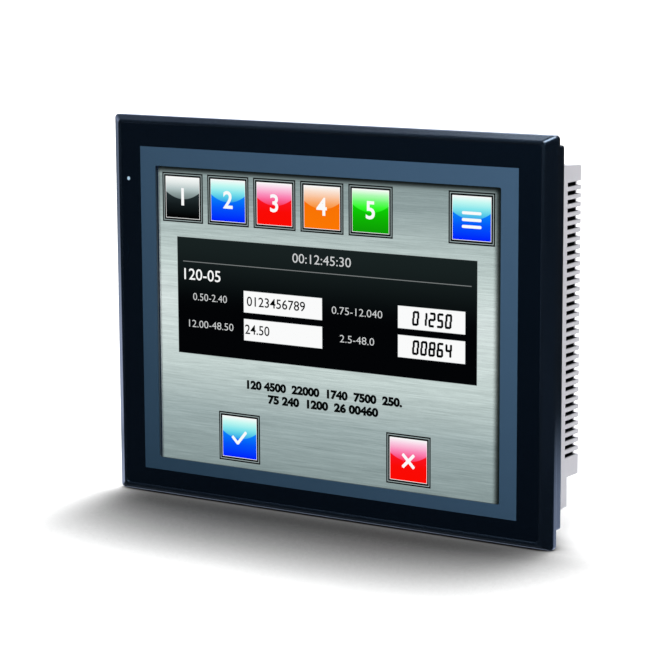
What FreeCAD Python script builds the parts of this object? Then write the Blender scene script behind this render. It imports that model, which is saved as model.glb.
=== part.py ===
import FreeCAD, Part
import math
import os
import Sketcher
from FreeCAD import Placement, Rotation, Vector

# Panel-mount operator terminal with a 12-inch touch screen.
# Frame: the origin is the centre of the panel cut-out, in the plane where the bezel's flange
# meets the panel. X runs to the right seen from the front, Y to the back, Z up. Millimetres.

doc = FreeCAD.newDocument("OperatorTerminal")


# ---------------------------------------------------------------- driving dimensions

driving_sizes = [
    # front bezel
    ("flange_side", 6.8), ("flange_top", 7.4), ("corner_radius", 2.5),
    ("edge_thickness", 3.3), ("bevel_depth", 4.2), ("bevel_side", 5.6), ("bevel_top", 2.9),
    ("skirt_depth", 18.0), ("skirt_wall", 2.4), ("skirt_corner", 1.6), ("front_wall", 1.0),
    ("clamp_slot_width", 14.0), ("clamp_slot_depth", 3.5), ("clamp_slot_back", 8.0),
    ("clamp_slot_inset", 50.7),
    # front sheet and its window
    ("rim_side", 2.2), ("rim_top", 2.1), ("sheet_sink", 0.2), ("sheet_thickness", 0.8),
    ("sheet_gap", 0.15), ("sheet_corner", 1.8),
    ("window_width", 247.2), ("window_height", 186.2), ("window_drop", 3.4), ("window_corner", 1.2),
    # run lamp
    ("lamp_inset", 3.8), ("lamp_rise", 20.6), ("lens_diameter", 3.2), ("lens_gap", 0.1),
    ("lens_collar", 1.4), ("lens_collar_thickness", 0.6), ("lens_length", 3.1),
    ("led_width", 2.0), ("led_thickness", 1.0), ("lamp_board_width", 6.4),
    ("lamp_board_height", 18.0), ("lamp_board_thickness", 1.0), ("lamp_post_diameter", 3.0),
    ("lamp_post_offset", 6.5),
    # panel gasket
    ("gasket_inset", 1.5), ("gasket_width", 3.0), ("gasket_thickness", 1.2),
    # touch panel and its seal
    ("touch_border", 7.4), ("touch_thickness", 0.8),
    ("seal_thickness", 0.3), ("seal_inset", 1.4),
    # display module
    ("module_side", 13.9), ("module_top", 11.9), ("glass_border", 3.4),
    ("glass_thickness", 1.6), ("glass_gap", 0.2), ("ledge_lap", 3.7), ("ledge_thickness", 0.8),
    ("diffuser_thickness", 0.5), ("guide_lap", 1.0), ("guide_thickness", 6.0),
    ("guide_side_room", 5.7), ("module_play", 0.1),
    ("tray_thickness", 0.8), ("relief_inset", 12.0), ("tube_diameter", 2.6),
    ("tube_gap", 0.4), ("holder_length", 5.0), ("holder_play", 0.2), ("holder_past", 1.4),
    # chassis plate
    ("chassis_side_gap", 1.8), ("chassis_top_gap", 4.7), ("chassis_thickness", 1.2),
    ("chassis_window_width", 60.0), ("chassis_window_height", 20.0),
    # room round the display inside the skirt
    ("module_gap", 2.2), ("boss_side_gap", 1.6), ("module_top_gap", 2.3), ("boss_top_gap", 1.0),
    # screws
    ("boss_diameter", 7.0), ("boss_row_drop", 38.0),
    ("screw_diameter", 2.8), ("screw_gap", 0.1), ("screw_length", 8.0), ("head_diameter", 5.4),
    ("head_thickness", 1.8), ("pilot_extra", 1.5),
    # circuit boards
    ("board_thickness", 1.6), ("board_inset", 6.0), ("short_standoff", 5.4),
    ("standoff_diameter", 5.5),
    ("main_side", 19.7), ("main_rise", 4.0), ("main_drop", 18.0), ("main_clear", 0.5),
    ("low_board_side", 14.0), ("low_board_rise", 1.3), ("power_width", 94.0),
    ("power_height", 93.0), ("inverter_width", 24.0), ("inverter_height", 128.0),
    # parts on the power board, placed from its lower left corner
    ("transformer_width", 30.0), ("transformer_depth", 11.0), ("transformer_height", 26.0),
    ("transformer_core", 14.0), ("transformer_right", 28.0), ("transformer_up", 58.0),
    ("power_cap_diameter", 9.0), ("power_cap_length", 10.5), ("power_cap_right", 65.0),
    ("power_cap_up", 18.0), ("power_cap_pitch", 14.0), ("power_cap_count", 4),
    ("choke_diameter", 18.0), ("choke_thickness", 7.0), ("choke_right", 70.0), ("choke_up", 78.0),
    # parts on the inverter board
    ("inverter_core_width", 12.0), ("inverter_core_depth", 8.0), ("inverter_core_height", 30.0),
    ("inverter_core_row", 40.0),
    # parts on the main board, their heights measured from its lower or upper edge
    ("cpu_size", 27.0), ("cpu_thickness", 2.2), ("cpu_x", -30.0), ("cpu_up", 69.3),
    ("sink_size", 36.0), ("sink_base", 2.0), ("sink_height", 7.0), ("fin_thickness", 1.2),
    ("fin_count", 8), ("memory_width", 18.0), ("memory_height", 8.0), ("memory_thickness", 1.2),
    ("memory_x", -26.0), ("memory_up", 27.3), ("memory_pitch_x", 24.0), ("memory_pitch_z", 12.0),
    ("cap_diameter", 6.3), ("cap_length", 7.0), ("cap_x", 50.0), ("cap_up", 29.3),
    ("cap_pitch", 10.0), ("cap_count", 5), ("slot_connector_width", 60.0),
    ("slot_connector_depth", 8.0), ("slot_connector_height", 7.0),
    # rear cover
    ("cover_inset", 0.4), ("cover_top_room", 6.3), ("cover_top_draft", 1.2),
    ("rear_depth", 41.0), ("step_rise", 17.6), ("low_depth", 27.1), ("cover_low_room", 5.3),
    ("cover_wall", 2.6), ("cover_edge", 1.0), ("lip_height", 0.35), ("lip_depth", 2.6),
    ("plate_thickness", 2.2), ("plate_gap", 0.15), ("cut_over", 1.2),
    # side vents
    ("vent_pitch", 5.0), ("vent_height", 2.6), ("vent_drop", 8.9), ("vent_end_room", 9.0),
    ("vent_start", 23.5), ("vent_wrap", 3.3),
    # top and bottom vents
    ("top_vent_pitch", 10.0), ("top_vent_width", 2.6), ("top_vent_room", 35.0),
    ("top_vent_start", 23.5), ("top_vent_end", 36.0), ("low_vent_start", 20.6),
    ("low_vent_end", 24.0),
    # expansion cover
    ("expansion_x", 40.0), ("expansion_drop", 48.0), ("expansion_width", 92.0),
    ("expansion_height", 46.0), ("expansion_ledge", 7.0), ("expansion_thickness", 1.6),
    ("expansion_gap", 0.25), ("expansion_boss", 6.0), ("expansion_boss_length", 6.0),
    ("sunk_head", 1.2),
    # battery and its bay
    ("battery_diameter", 17.0), ("battery_length", 33.5), ("battery_side", 48.3),
    ("battery_drop", 23.9), ("battery_gap", 0.3), ("contact_thickness", 0.6), ("bay_wall", 1.6),
    ("contact_width", 10.0), ("contact_height", 12.0),
    ("lid_thickness", 2.2), ("lid_gap", 0.3), ("lid_seat_gap", 0.15), ("lid_ledge", 1.5),
    ("lid_pin_diameter", 1.6), ("lid_pin_length", 1.4), ("lid_pin_gap", 0.08),
    ("lid_notch_width", 12.0), ("lid_notch_height", 3.0),
    # memory card slot and its ejector
    ("card_drop", 48.0), ("card_width", 43.2), ("card_thickness", 5.3), ("card_lift", 2.1),
    ("card_length", 35.4), ("rail_thickness", 3.6), ("rail_groove", 1.2), ("rail_height", 8.2),
    ("header_length", 8.0), ("guide_gap", 0.3), ("lever_notch", 1.6), ("lever_thickness", 1.0),
    ("lever_width", 5.0), ("lever_short_arm", 17.0), ("lever_lift", 0.3),
    ("lever_pin_diameter", 2.4), ("lever_pin_gap", 0.05), ("eject_peg_diameter", 2.0),
    ("eject_peg_gap", 0.3), ("eject_rod_width", 3.6), ("eject_rod_thickness", 3.0),
    ("eject_cap_width", 5.0), ("eject_cap_thickness", 4.2), ("eject_reach", 5.6),
    ("eject_gap", 0.3), ("eject_cap_length", 10.0), ("eject_rail_gap", 0.5),
    ("lever_drop", 7.0), ("lever_offset", 0.5), ("lever_end", 2.0), ("lever_sweep", 6.0),
    ("tab_width", 1.2), ("tab_height", 5.0), ("tab_rise", 3.1), ("tab_room", 1.5),
    ("shelf_start", 26.0), ("shelf_length", 14.0),
    # reset button
    ("reset_x", -60.0), ("reset_down", 13.0), ("reset_body", 6.0), ("reset_body_height", 4.0),
    ("reset_diameter", 3.0), ("reset_bore_gap", 0.15), ("reset_hole_gap", 0.3),
    ("reset_depth", 1.1), ("reset_bore_depth", 2.2), ("reset_sink", 0.4),
    # terminator switch
    ("switch_x", -40.0), ("switch_down", 13.0), ("switch_width", 8.0), ("switch_height", 6.4),
    ("switch_depth", 9.4), ("switch_gap", 0.5), ("slider_width", 1.4), ("slider_height", 1.2),
    ("slider_depth", 1.4), ("slider_travel", 1.4), ("slider_gap", 0.2), ("slider_pitch", 3.2),
    ("slider_slot_depth", 0.9),
    # ports on the underside
    ("port_gap", 0.3), ("port_show", 0.4),
    ("terminal_inset", 23.0), ("terminal_width", 28.0), ("terminal_depth", 10.4),
    ("terminal_height", 13.0), ("terminal_show", 3.0), ("terminal_pitch", 8.0),
    ("wire_hole", 3.7), ("wire_hole_depth", 9.0), ("wire_hole_line", 3.0),
    ("terminal_screw_diameter", 3.4), ("terminal_screw_line", 7.8), ("terminal_screw_length", 4.0),
    ("terminal_screw_sink", 0.8),
    ("serial_offset", 43.0), ("serial_pitch", 40.0), ("serial_flange_width", 30.8),
    ("serial_flange_depth", 12.5), ("serial_flange_thickness", 0.8), ("serial_shell_width", 17.6),
    ("serial_shell_depth", 8.6), ("serial_shell_slant", 1.5), ("serial_shell_height", 5.8),
    ("serial_shell_corner", 1.6), ("serial_body_width", 19.2), ("serial_body_depth", 8.4),
    ("serial_body_height", 10.0), ("jackscrew_spacing", 25.0), ("jackscrew_across", 4.7),
    ("jackscrew_height", 5.0), ("jackscrew_bore", 2.4), ("jackscrew_bore_depth", 4.0),
    ("jackscrew_past", 1.3),
    ("ethernet_offset", 34.0), ("ethernet_width", 16.0), ("ethernet_depth", 10.4),
    ("ethernet_length", 21.0), ("ethernet_mouth_width", 11.8), ("ethernet_mouth_depth", 6.9),
    ("ethernet_mouth_length", 13.0), ("ethernet_latch_width", 6.0), ("ethernet_latch_depth", 1.5),
    ("host_offset", 26.0), ("host_width", 14.5), ("host_depth", 7.0), ("host_length", 14.0),
    ("host_wall", 0.9), ("host_tongue_width", 11.1), ("host_tongue_depth", 1.9),
    ("device_offset", 22.0), ("device_width", 12.0), ("device_depth", 10.4), ("device_length", 16.0),
    ("device_wall", 1.6), ("device_tongue_width", 5.6), ("device_tongue_depth", 3.2),
    ("usb_mouth_length", 9.0),
    # flat cable between the display and the main board
    ("ribbon_width", 26.0), ("ribbon_thickness", 0.4), ("ribbon_x", -20.0), ("ribbon_stand", 4.0),
]

sheet = doc.addObject("Spreadsheet::Sheet", "Sizes")


class Term:
    """A number together with the spreadsheet expression that it comes from."""

    def __init__(self, text, number):
        self.text = text
        self.number = number

    def __add__(self, other):
        return Term(f"({self.text} + {text_of(other)})", self.number + number_of(other))

    def __radd__(self, other):
        return Term(f"({text_of(other)} + {self.text})", number_of(other) + self.number)

    def __sub__(self, other):
        return Term(f"({self.text} - {text_of(other)})", self.number - number_of(other))

    def __rsub__(self, other):
        return Term(f"({text_of(other)} - {self.text})", number_of(other) - self.number)

    def __mul__(self, other):
        return Term(f"({self.text} * {text_of(other)})", self.number * number_of(other))

    __rmul__ = __mul__

    def __truediv__(self, other):
        return Term(f"({self.text} / {text_of(other)})", self.number / number_of(other))

    def __neg__(self):
        return Term(f"(0 - {self.text})", -self.number)


def text_of(value):
    return value.text if isinstance(value, Term) else repr(value)


def number_of(value):
    return value.number if isinstance(value, Term) else value


def rounded_down(term):
    return Term(f"floor({term.text})", math.floor(term.number))


def rounded_up(term):
    return Term(f"ceil({term.text})", math.ceil(term.number))


class Sizes:
    """The cells of the sheet, one attribute each."""


size = Sizes()
for row, (alias, number) in enumerate(driving_sizes, start=1):
    sheet.set(f"A{row}", alias)
    sheet.set(f"B{row}", str(number))
    sheet.setAlias(f"B{row}", alias)
    setattr(size, alias, Term(f"Sizes.{alias}", number))
doc.recompute()


# ---------------------------------------------------------------- building helpers

along = {
    "x": Rotation(Vector(0, 1, 0), 90),
    "y": Rotation(Vector(1, 0, 0), -90),
    "z": Rotation(),
}
normal_sign = {"XY": 1, "XZ": -1, "YZ": 1}
nodes = []


def bind(item, **values):
    for name, value in values.items():
        setattr(item, name, number_of(value))
        if isinstance(value, Term):
            item.setExpression(name, value.text)


def place(item, x, y, z, rotation=Rotation()):
    item.Placement = Placement(Vector(number_of(x), number_of(y), number_of(z)), rotation)
    for axis, value in (("x", x), ("y", y), ("z", z)):
        if isinstance(value, Term):
            item.setExpression(f"Placement.Base.{axis}", value.text)


def block(name, x, y, z):
    """A box between the low and high values of x, y and z."""
    item = doc.addObject("Part::Box", name)
    bind(item, Length=x[1] - x[0], Width=y[1] - y[0], Height=z[1] - z[0])
    place(item, x[0], y[0], z[0])
    return item


def rod(name, axis, start, diameter, length):
    """A cylinder from the centre of its first end along an axis."""
    item = doc.addObject("Part::Cylinder", name)
    bind(item, Radius=diameter / 2, Height=length)
    place(item, *start, along[axis])
    return item


def fuse(name, parts):
    item = doc.addObject("Part::MultiFuse", name)
    item.Shapes = parts
    return item


def cut(name, base, tools):
    item = doc.addObject("Part::Cut", name)
    item.Base = base
    item.Tool = tools[0] if len(tools) == 1 else fuse(name + "Tools", tools)
    return item


def group(name, parts):
    item = doc.addObject("Part::Compound", name)
    item.Links = parts
    return item


def node(label, item):
    item.Label = label
    nodes.append(item)
    return item


def new_body(name):
    return doc.addObject("PartDesign::Body", name)


def pin_point(sketch, geometry, point, u, v):
    """Ties a point of the sketch to its distances from the origin."""
    for kind, value in (("DistanceX", u), ("DistanceY", v)):
        constraint = Sketcher.Constraint(kind, -1, 1, geometry, point, number_of(value))
        index = sketch.addConstraint(constraint)
        if isinstance(value, Term):
            sketch.setExpression(f"Constraints[{index}]", value.text)


def outline(points):
    """A closed outline of straight lines through points (u, v)."""

    def draw(sketch):
        first = sketch.GeometryCount
        count = len(points)
        ends = [Vector(number_of(u), number_of(v), 0) for u, v in points]
        for i in range(count):
            sketch.addGeometry(Part.LineSegment(ends[i], ends[(i + 1) % count]), False)
        for i in range(count):
            following = first + (i + 1) % count
            sketch.addConstraint(Sketcher.Constraint("Coincident", first + i, 2, following, 1))
        for i, (u, v) in enumerate(points):
            pin_point(sketch, first + i, 1, u, v)

    return draw


def rectangle(u, v):
    return outline([(u[0], v[0]), (u[1], v[0]), (u[1], v[1]), (u[0], v[1])])


def rounded(u, v, radius):
    """A rectangle with round corners: four lines, and an arc tangent to each pair."""

    def draw(sketch):
        first = sketch.GeometryCount
        r = number_of(radius)
        low, high = [(number_of(u[i]), number_of(v[i])) for i in (0, 1)]
        centres = [(high[0] - r, low[1] + r), (high[0] - r, high[1] - r),
                   (low[0] + r, high[1] - r), (low[0] + r, low[1] + r)]
        lines = [((low[0] + r, low[1]), (high[0] - r, low[1])),
                 ((high[0], low[1] + r), (high[0], high[1] - r)),
                 ((high[0] - r, high[1]), (low[0] + r, high[1])),
                 ((low[0], high[1] - r), (low[0], low[1] + r))]
        quarter = math.pi / 2
        for i in range(4):
            start, end = lines[i]
            sketch.addGeometry(Part.LineSegment(Vector(*start, 0), Vector(*end, 0)), False)
            circle = Part.Circle(Vector(*centres[i], 0), Vector(0, 0, 1), r)
            arc = Part.ArcOfCircle(circle, (i - 1) * quarter, i * quarter)
            sketch.addGeometry(arc, False)
        for i in range(4):
            line = first + 2 * i
            following = first + (2 * i + 2) % 8
            sketch.addConstraint(Sketcher.Constraint("Tangent", line, 2, line + 1, 1))
            sketch.addConstraint(Sketcher.Constraint("Tangent", line + 1, 2, following, 1))
            direction = "Horizontal" if i % 2 == 0 else "Vertical"
            sketch.addConstraint(Sketcher.Constraint(direction, line))
        for i in range(1, 4):
            sketch.addConstraint(Sketcher.Constraint("Equal", first + 1, first + 2 * i + 1))
        index = sketch.addConstraint(Sketcher.Constraint("Radius", first + 1, r))
        if isinstance(radius, Term):
            sketch.setExpression(f"Constraints[{index}]", radius.text)
        values = [("DistanceY", 0, v[0]), ("DistanceX", 2, u[1]), ("DistanceY", 4, v[1]),
                  ("DistanceX", 6, u[0])]
        for kind, line, value in values:
            constraint = Sketcher.Constraint(kind, -1, 1, first + line, 1, number_of(value))
            index = sketch.addConstraint(constraint)
            if isinstance(value, Term):
                sketch.setExpression(f"Constraints[{index}]", value.text)

    return draw


def disc(u, v, diameter):
    def draw(sketch):
        centre = Vector(number_of(u), number_of(v), 0)
        circle = Part.Circle(centre, Vector(0, 0, 1), number_of(diameter) / 2)
        index = sketch.addGeometry(circle, False)
        pin_point(sketch, index, 3, u, v)
        constraint = Sketcher.Constraint("Diameter", index, number_of(diameter))
        position = sketch.addConstraint(constraint)
        if isinstance(diameter, Term):
            sketch.setExpression(f"Constraints[{position}]", diameter.text)

    return draw


def make_sketch(body, name, plane, level, shapes):
    """A sketch on one of the body's own origin planes, moved along the row axis to level."""
    sketch = body.newObject("Sketcher::SketchObject", name)
    origin_plane = [f for f in body.Origin.OriginFeatures if f.Role == plane + "_Plane"][0]
    sketch.AttachmentSupport = [(origin_plane, "")]
    sketch.MapMode = "FlatFace"
    offset = level * normal_sign[plane]
    sketch.AttachmentOffset = Placement(Vector(0, 0, number_of(offset)), Rotation())
    if isinstance(offset, Term):
        sketch.setExpression("AttachmentOffset.Base.z", offset.text)
    for draw in shapes:
        draw(sketch)
    return sketch


def pad(body, name, plane, span, shapes):
    """Adds the shapes, from the low to the high value of span along the plane's axis."""
    sketch = make_sketch(body, name + "Sketch", plane, span[0], shapes)
    feature = body.newObject("PartDesign::Pad", name)
    feature.Profile = sketch
    bind(feature, Length=span[1] - span[0])
    feature.Reversed = normal_sign[plane] < 0
    doc.recompute()
    return feature


def pocket(body, name, plane, span, shapes):
    """Cuts the shapes away, from the low to the high value of span."""
    before = body.Shape.Volume
    sketch = make_sketch(body, name + "Sketch", plane, span[0], shapes)
    feature = body.newObject("PartDesign::Pocket", name)
    feature.Profile = sketch
    bind(feature, Length=span[1] - span[0])
    feature.Reversed = normal_sign[plane] > 0
    doc.recompute()
    if not feature.Shape.Volume < before:
        raise ValueError(f"{name} cuts nothing")
    return feature


def repeat(body, name, feature, axis, pitch, count, reverse=False):
    """Repeats a feature in a row, along the horizontal or vertical axis of its sketch."""
    pattern = body.newObject("PartDesign::LinearPattern", name)
    pattern.Originals = [feature]
    pattern.Direction = (feature.Profile[0], [axis])
    pattern.Mode = "Spacing"
    bind(pattern, Offset=pitch, Occurrences=count)
    pattern.Reversed = reverse
    body.Tip = pattern
    doc.recompute()
    return pattern


def dress(body, kind, name, wanted, **values):
    """A fillet or chamfer on the edges of the body that the test picks."""
    base = body.Tip
    edges = [f"Edge{i}" for i, edge in enumerate(base.Shape.Edges, start=1) if wanted(edge)]
    feature = body.newObject("PartDesign::" + kind, name)
    feature.Base = (base, edges)
    bind(feature, **values)
    doc.recompute()
    return feature


def runs(edge, axis):
    """Whether a straight edge runs along X, Y or Z."""
    if edge.Curve.TypeId != "Part::GeomLine":
        return False
    return abs(getattr(edge.tangentAt(edge.FirstParameter), axis)) > 0.999


def near(value, term):
    return abs(value - number_of(term)) < 0.01


def around(centre, width):
    return (centre - width / 2, centre + width / 2)


def each_way(half):
    return (-half, half)


# ---------------------------------------------------------------- shared planes and lines

front_face = -(size.edge_thickness + size.bevel_depth)
sheet_face = front_face + size.sheet_sink
sheet_back = sheet_face + size.sheet_thickness
wall_back = sheet_back + size.front_wall
touch_face = wall_back + size.seal_thickness
glass_face = touch_face + size.touch_thickness
glass_back = glass_face + size.glass_thickness
ledge_back = glass_back + size.ledge_thickness
diffuser_back = ledge_back + size.diffuser_thickness
guide_back = diffuser_back + size.guide_thickness
tray_face = guide_back + size.module_play
chassis_face = tray_face + size.tray_thickness
chassis_back = chassis_face + size.chassis_thickness
low_board_face = chassis_back + size.short_standoff
low_board_back = low_board_face + size.board_thickness
main_back = size.low_depth + size.main_clear
main_face = main_back - size.board_thickness
rear_inside = size.rear_depth - size.cover_wall
plate_face = size.skirt_depth - size.plate_thickness

# from the window outwards: the display module, the bosses beside it, the skirt and the flange
window_z = -size.window_drop
window_half = (size.window_width / 2, size.window_height / 2)
touch_half = [half + size.touch_border for half in window_half]
glass_half = [half + size.glass_border for half in window_half]
ledge_half = [half - size.ledge_lap for half in glass_half]
guide_half = [half + size.guide_lap for half in ledge_half]
module_half = (window_half[0] + size.module_side, window_half[1] + size.module_top)
boss_radius = size.boss_diameter / 2
boss_line = module_half[0] + size.module_gap + boss_radius
inside_x = boss_line + boss_radius + size.boss_side_gap
inside_z = module_half[1] + size.window_drop + size.module_top_gap
skirt_x = inside_x + size.skirt_wall
skirt_z = inside_z + size.skirt_wall
half_width = skirt_x + size.flange_side
half_height = skirt_z + size.flange_top
sheet_x = half_width - size.bevel_side - size.rim_side
sheet_z = half_height - size.bevel_top - size.rim_top
cover_row = inside_z - size.boss_top_gap - boss_radius
chassis_x = inside_x - size.chassis_side_gap
chassis_z = cover_row - boss_radius - size.chassis_top_gap
boss_row = chassis_z - size.boss_row_drop
lamp_x = size.lamp_inset - inside_x
lamp_z = boss_row + size.lamp_rise

cover_x = skirt_x - size.cover_inset
cover_top = cover_row - size.cover_top_room
cover_bottom = size.cover_low_room - cover_row
step_height = cover_bottom + size.step_rise
battery_x = size.battery_side - cover_x
battery_z = cover_top - size.battery_drop
main_half_width = cover_x - size.cover_wall - size.main_side
main_low = step_height + size.main_rise
main_high = battery_z - size.main_drop
low_board_edge = main_half_width - size.low_board_side
low_board_low = main_low + size.low_board_rise

window_span = (each_way(window_half[0]), around(window_z, size.window_height))
cover_screws = [(-boss_line, cover_row), (0, cover_row), (boss_line, cover_row),
                (-boss_line, -cover_row), (boss_line, -cover_row)]
chassis_screws = [(side * boss_line, row * boss_row) for side in (-1, 1) for row in (-1, 0, 1)]
pilot_diameter = size.screw_diameter + size.screw_gap
pilot_length = size.screw_length + size.pilot_extra


def screw(name, x, y, z):
    """A pan-head screw: y is the face under its head, and the shank points to the front."""
    head = rod(name + "Head", "y", (x, y, z), size.head_diameter, size.head_thickness)
    shank = rod(name + "Shank", "y", (x, y - size.screw_length, z), size.screw_diameter,
                size.screw_length)
    return fuse(name, [head, shank])


# ---------------------------------------------------------------- front of the terminal

def make_front_bezel():
    body = new_body("FrontBezel")
    flange = rounded(each_way(half_width), each_way(half_height), size.corner_radius)
    pad(body, "Flange", "XZ", (-size.edge_thickness, 0), [flange])
    base = make_sketch(body, "BevelBase", "XZ", -size.edge_thickness, [flange])
    rim = make_sketch(body, "BevelRim", "XZ", front_face,
                      [rounded(each_way(half_width - size.bevel_side),
                               each_way(half_height - size.bevel_top), size.corner_radius)])
    bevel = body.newObject("PartDesign::AdditiveLoft", "Bevel")
    bevel.Profile = base
    bevel.Sections = [rim]
    bevel.Ruled = True
    doc.recompute()
    pad(body, "Skirt", "XZ", (0, size.skirt_depth),
        [rounded(each_way(skirt_x), each_way(skirt_z), size.skirt_corner)])
    pocket(body, "Cavity", "XZ", (wall_back, size.skirt_depth),
           [rectangle(each_way(inside_x), each_way(inside_z))])
    pocket(body, "SheetSeat", "XZ", (front_face, sheet_back),
           [rounded(each_way(sheet_x), each_way(sheet_z), size.sheet_corner)])
    pocket(body, "Window", "XZ", (sheet_back, wall_back),
           [rounded(*window_span, size.window_corner),
            disc(lamp_x, lamp_z, size.lens_diameter + 2 * size.lens_gap)])
    gasket_x = skirt_x + size.gasket_inset
    gasket_z = skirt_z + size.gasket_inset
    pocket(body, "GasketGroove", "XZ", (-size.gasket_thickness, 0),
           [rectangle(each_way(gasket_x), each_way(gasket_z)),
            rectangle(each_way(gasket_x + size.gasket_width),
                      each_way(gasket_z + size.gasket_width))])
    clamp_x = skirt_x - size.clamp_slot_inset
    slots = [rectangle(around(side * clamp_x, size.clamp_slot_width),
                       (size.clamp_slot_back, size.clamp_slot_back + size.clamp_slot_depth))
             for side in (-1, 1)]
    pocket(body, "ClampSlots", "XY", (-skirt_z, skirt_z), slots)
    pad(body, "CoverBosses", "XZ", (wall_back, plate_face),
        [disc(x, z, size.boss_diameter) for x, z in cover_screws])
    pocket(body, "CoverPilots", "XZ", (plate_face - pilot_length, plate_face),
           [disc(x, z, pilot_diameter) for x, z in cover_screws])
    pad(body, "ChassisBosses", "XZ", (wall_back, chassis_face),
        [disc(x, z, size.boss_diameter) for x, z in chassis_screws])
    pocket(body, "ChassisPilots", "XZ", (chassis_face - pilot_length, chassis_face),
           [disc(x, z, pilot_diameter) for x, z in chassis_screws])
    lamp_board_face = sheet_face + size.lens_length + size.led_thickness
    pad(body, "LampPosts", "XZ", (wall_back, lamp_board_face),
        [disc(lamp_x, lamp_z + side * size.lamp_post_offset, size.lamp_post_diameter)
         for side in (-1, 1)])
    node("front_bezel", body)


def make_front_sheet():
    body = new_body("FrontSheet")
    pad(body, "Sheet", "XZ", (sheet_face, sheet_back),
        [rounded(each_way(sheet_x - size.sheet_gap), each_way(sheet_z - size.sheet_gap),
                 size.sheet_corner),
         rounded(*window_span, size.window_corner),
         disc(lamp_x, lamp_z, size.lens_diameter + 2 * size.lens_gap)])
    node("front_sheet", body)


def make_run_lamp():
    lens = rod("LensRod", "y", (lamp_x, sheet_face, lamp_z), size.lens_diameter,
               size.lens_length)
    collar = rod("LensCollar", "y", (lamp_x, wall_back, lamp_z),
                 size.lens_diameter + 2 * size.lens_collar, size.lens_collar_thickness)
    node("run_lamp_lens", fuse("RunLampLens", [lens, collar]))
    led_face = sheet_face + size.lens_length
    board_face = led_face + size.led_thickness
    led = block("Led", around(lamp_x, size.led_width), (led_face, board_face),
                around(lamp_z, size.led_width))
    board = block("LampBoard", around(lamp_x, size.lamp_board_width),
                  (board_face, board_face + size.lamp_board_thickness),
                  around(lamp_z, size.lamp_board_height))
    node("run_lamp_board", fuse("RunLampBoard", [led, board]))


def make_panel_gasket():
    body = new_body("PanelGasket")
    x = skirt_x + size.gasket_inset
    z = skirt_z + size.gasket_inset
    pad(body, "Ring", "XZ", (-size.gasket_thickness, 0),
        [rectangle(each_way(x), each_way(z)),
         rectangle(each_way(x + size.gasket_width), each_way(z + size.gasket_width))])
    node("panel_gasket", body)


def level_with_window(half):
    """The rectangle of a layer behind the window, from half its width and half its height."""
    return each_way(half[0]), around(window_z, 2 * half[1])


def make_touch_panel():
    seal = new_body("TouchPanelSeal")
    outer = rectangle(*level_with_window(touch_half))
    inner = [half + size.seal_inset for half in window_half]
    pad(seal, "Ring", "XZ", (wall_back, touch_face),
        [outer, rectangle(*level_with_window(inner))])
    node("touch_panel_seal", seal)
    panel = new_body("TouchPanel")
    pad(panel, "Panel", "XZ", (touch_face, glass_face), [outer])
    node("touch_panel", panel)


# ---------------------------------------------------------------- display module

tube_room = size.tube_gap + size.tube_diameter + size.holder_past
room_half = (guide_half[0] + size.guide_side_room, guide_half[1] + tube_room)
tube_half = glass_half[0] - size.holder_length


def make_display_module():
    frame = new_body("DisplayFrame")
    outer = rectangle(*level_with_window(module_half))
    pad(frame, "Frame", "XZ", (glass_face, tray_face), [outer])
    seat = [half + size.glass_gap for half in glass_half]
    pocket(frame, "GlassSeat", "XZ", (glass_face, glass_back),
           [rectangle(*level_with_window(seat))])
    pocket(frame, "Ledge", "XZ", (glass_back, ledge_back),
           [rectangle(*level_with_window(ledge_half))])
    pocket(frame, "BacklightRoom", "XZ", (ledge_back, tray_face),
           [rectangle(*level_with_window(room_half))])
    node("lcd_frame", frame)
    glass_x, glass_z = level_with_window(glass_half)
    node("lcd_glass", block("LcdGlass", glass_x, (glass_face, glass_back), glass_z))
    guide_x, guide_z = level_with_window(guide_half)
    node("diffuser_sheet", block("DiffuserSheet", guide_x, (ledge_back, diffuser_back), guide_z))
    node("light_guide", block("LightGuide", guide_x, (diffuser_back, guide_back), guide_z))
    make_backlight()
    tray = new_body("LcdBackTray")
    pad(tray, "Tray", "XZ", (tray_face, chassis_face), [outer])
    window = rectangle(*level_with_window([half - size.relief_inset for half in guide_half]))
    pocket(tray, "Relief", "XZ", (chassis_face - size.tray_thickness / 2, chassis_face), [window])
    node("lcd_back_tray", tray)


def make_backlight():
    lamps = []
    holders = []
    tube_y = (diffuser_back + guide_back) / 2
    holder_height = tube_room - size.holder_play
    for side, name in ((-1, "Lower"), (1, "Upper")):
        tube_z = window_z + side * (guide_half[1] + size.tube_gap + size.tube_diameter / 2)
        lamps.append(rod(name + "Lamp", "x", (-tube_half, tube_y, tube_z),
                         size.tube_diameter, 2 * tube_half))
        for end in (-1, 1):
            holders.append(block(
                f"{name}Holder",
                around(end * (tube_half + size.holder_length / 2), size.holder_length),
                (ledge_back, tray_face),
                around(window_z + side * (room_half[1] - holder_height / 2), holder_height)))
    node("backlight_lamps", group("BacklightLamps", lamps))
    node("lamp_holders", group("LampHolders", holders))


# ---------------------------------------------------------------- chassis and circuit boards

main_x = each_way(main_half_width)
main_z = (main_low, main_high)
power_x = (low_board_edge - size.power_width, low_board_edge)
power_z = (low_board_low, low_board_low + size.power_height)
inverter_x = (-low_board_edge, size.inverter_width - low_board_edge)
inverter_z = (low_board_low, low_board_low + size.inverter_height)


def corner_screws(x, z):
    inset = size.board_inset
    return [(u, v) for u in (x[0] + inset, x[1] - inset) for v in (z[0] + inset, z[1] - inset)]


main_screws = corner_screws(main_x, main_z)
power_screws = corner_screws(power_x, power_z)
inverter_middle = (inverter_x[0] + inverter_x[1]) / 2
inverter_screws = [(inverter_middle, inverter_z[0] + size.board_inset),
                   (inverter_middle, inverter_z[1] - size.board_inset)]


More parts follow.
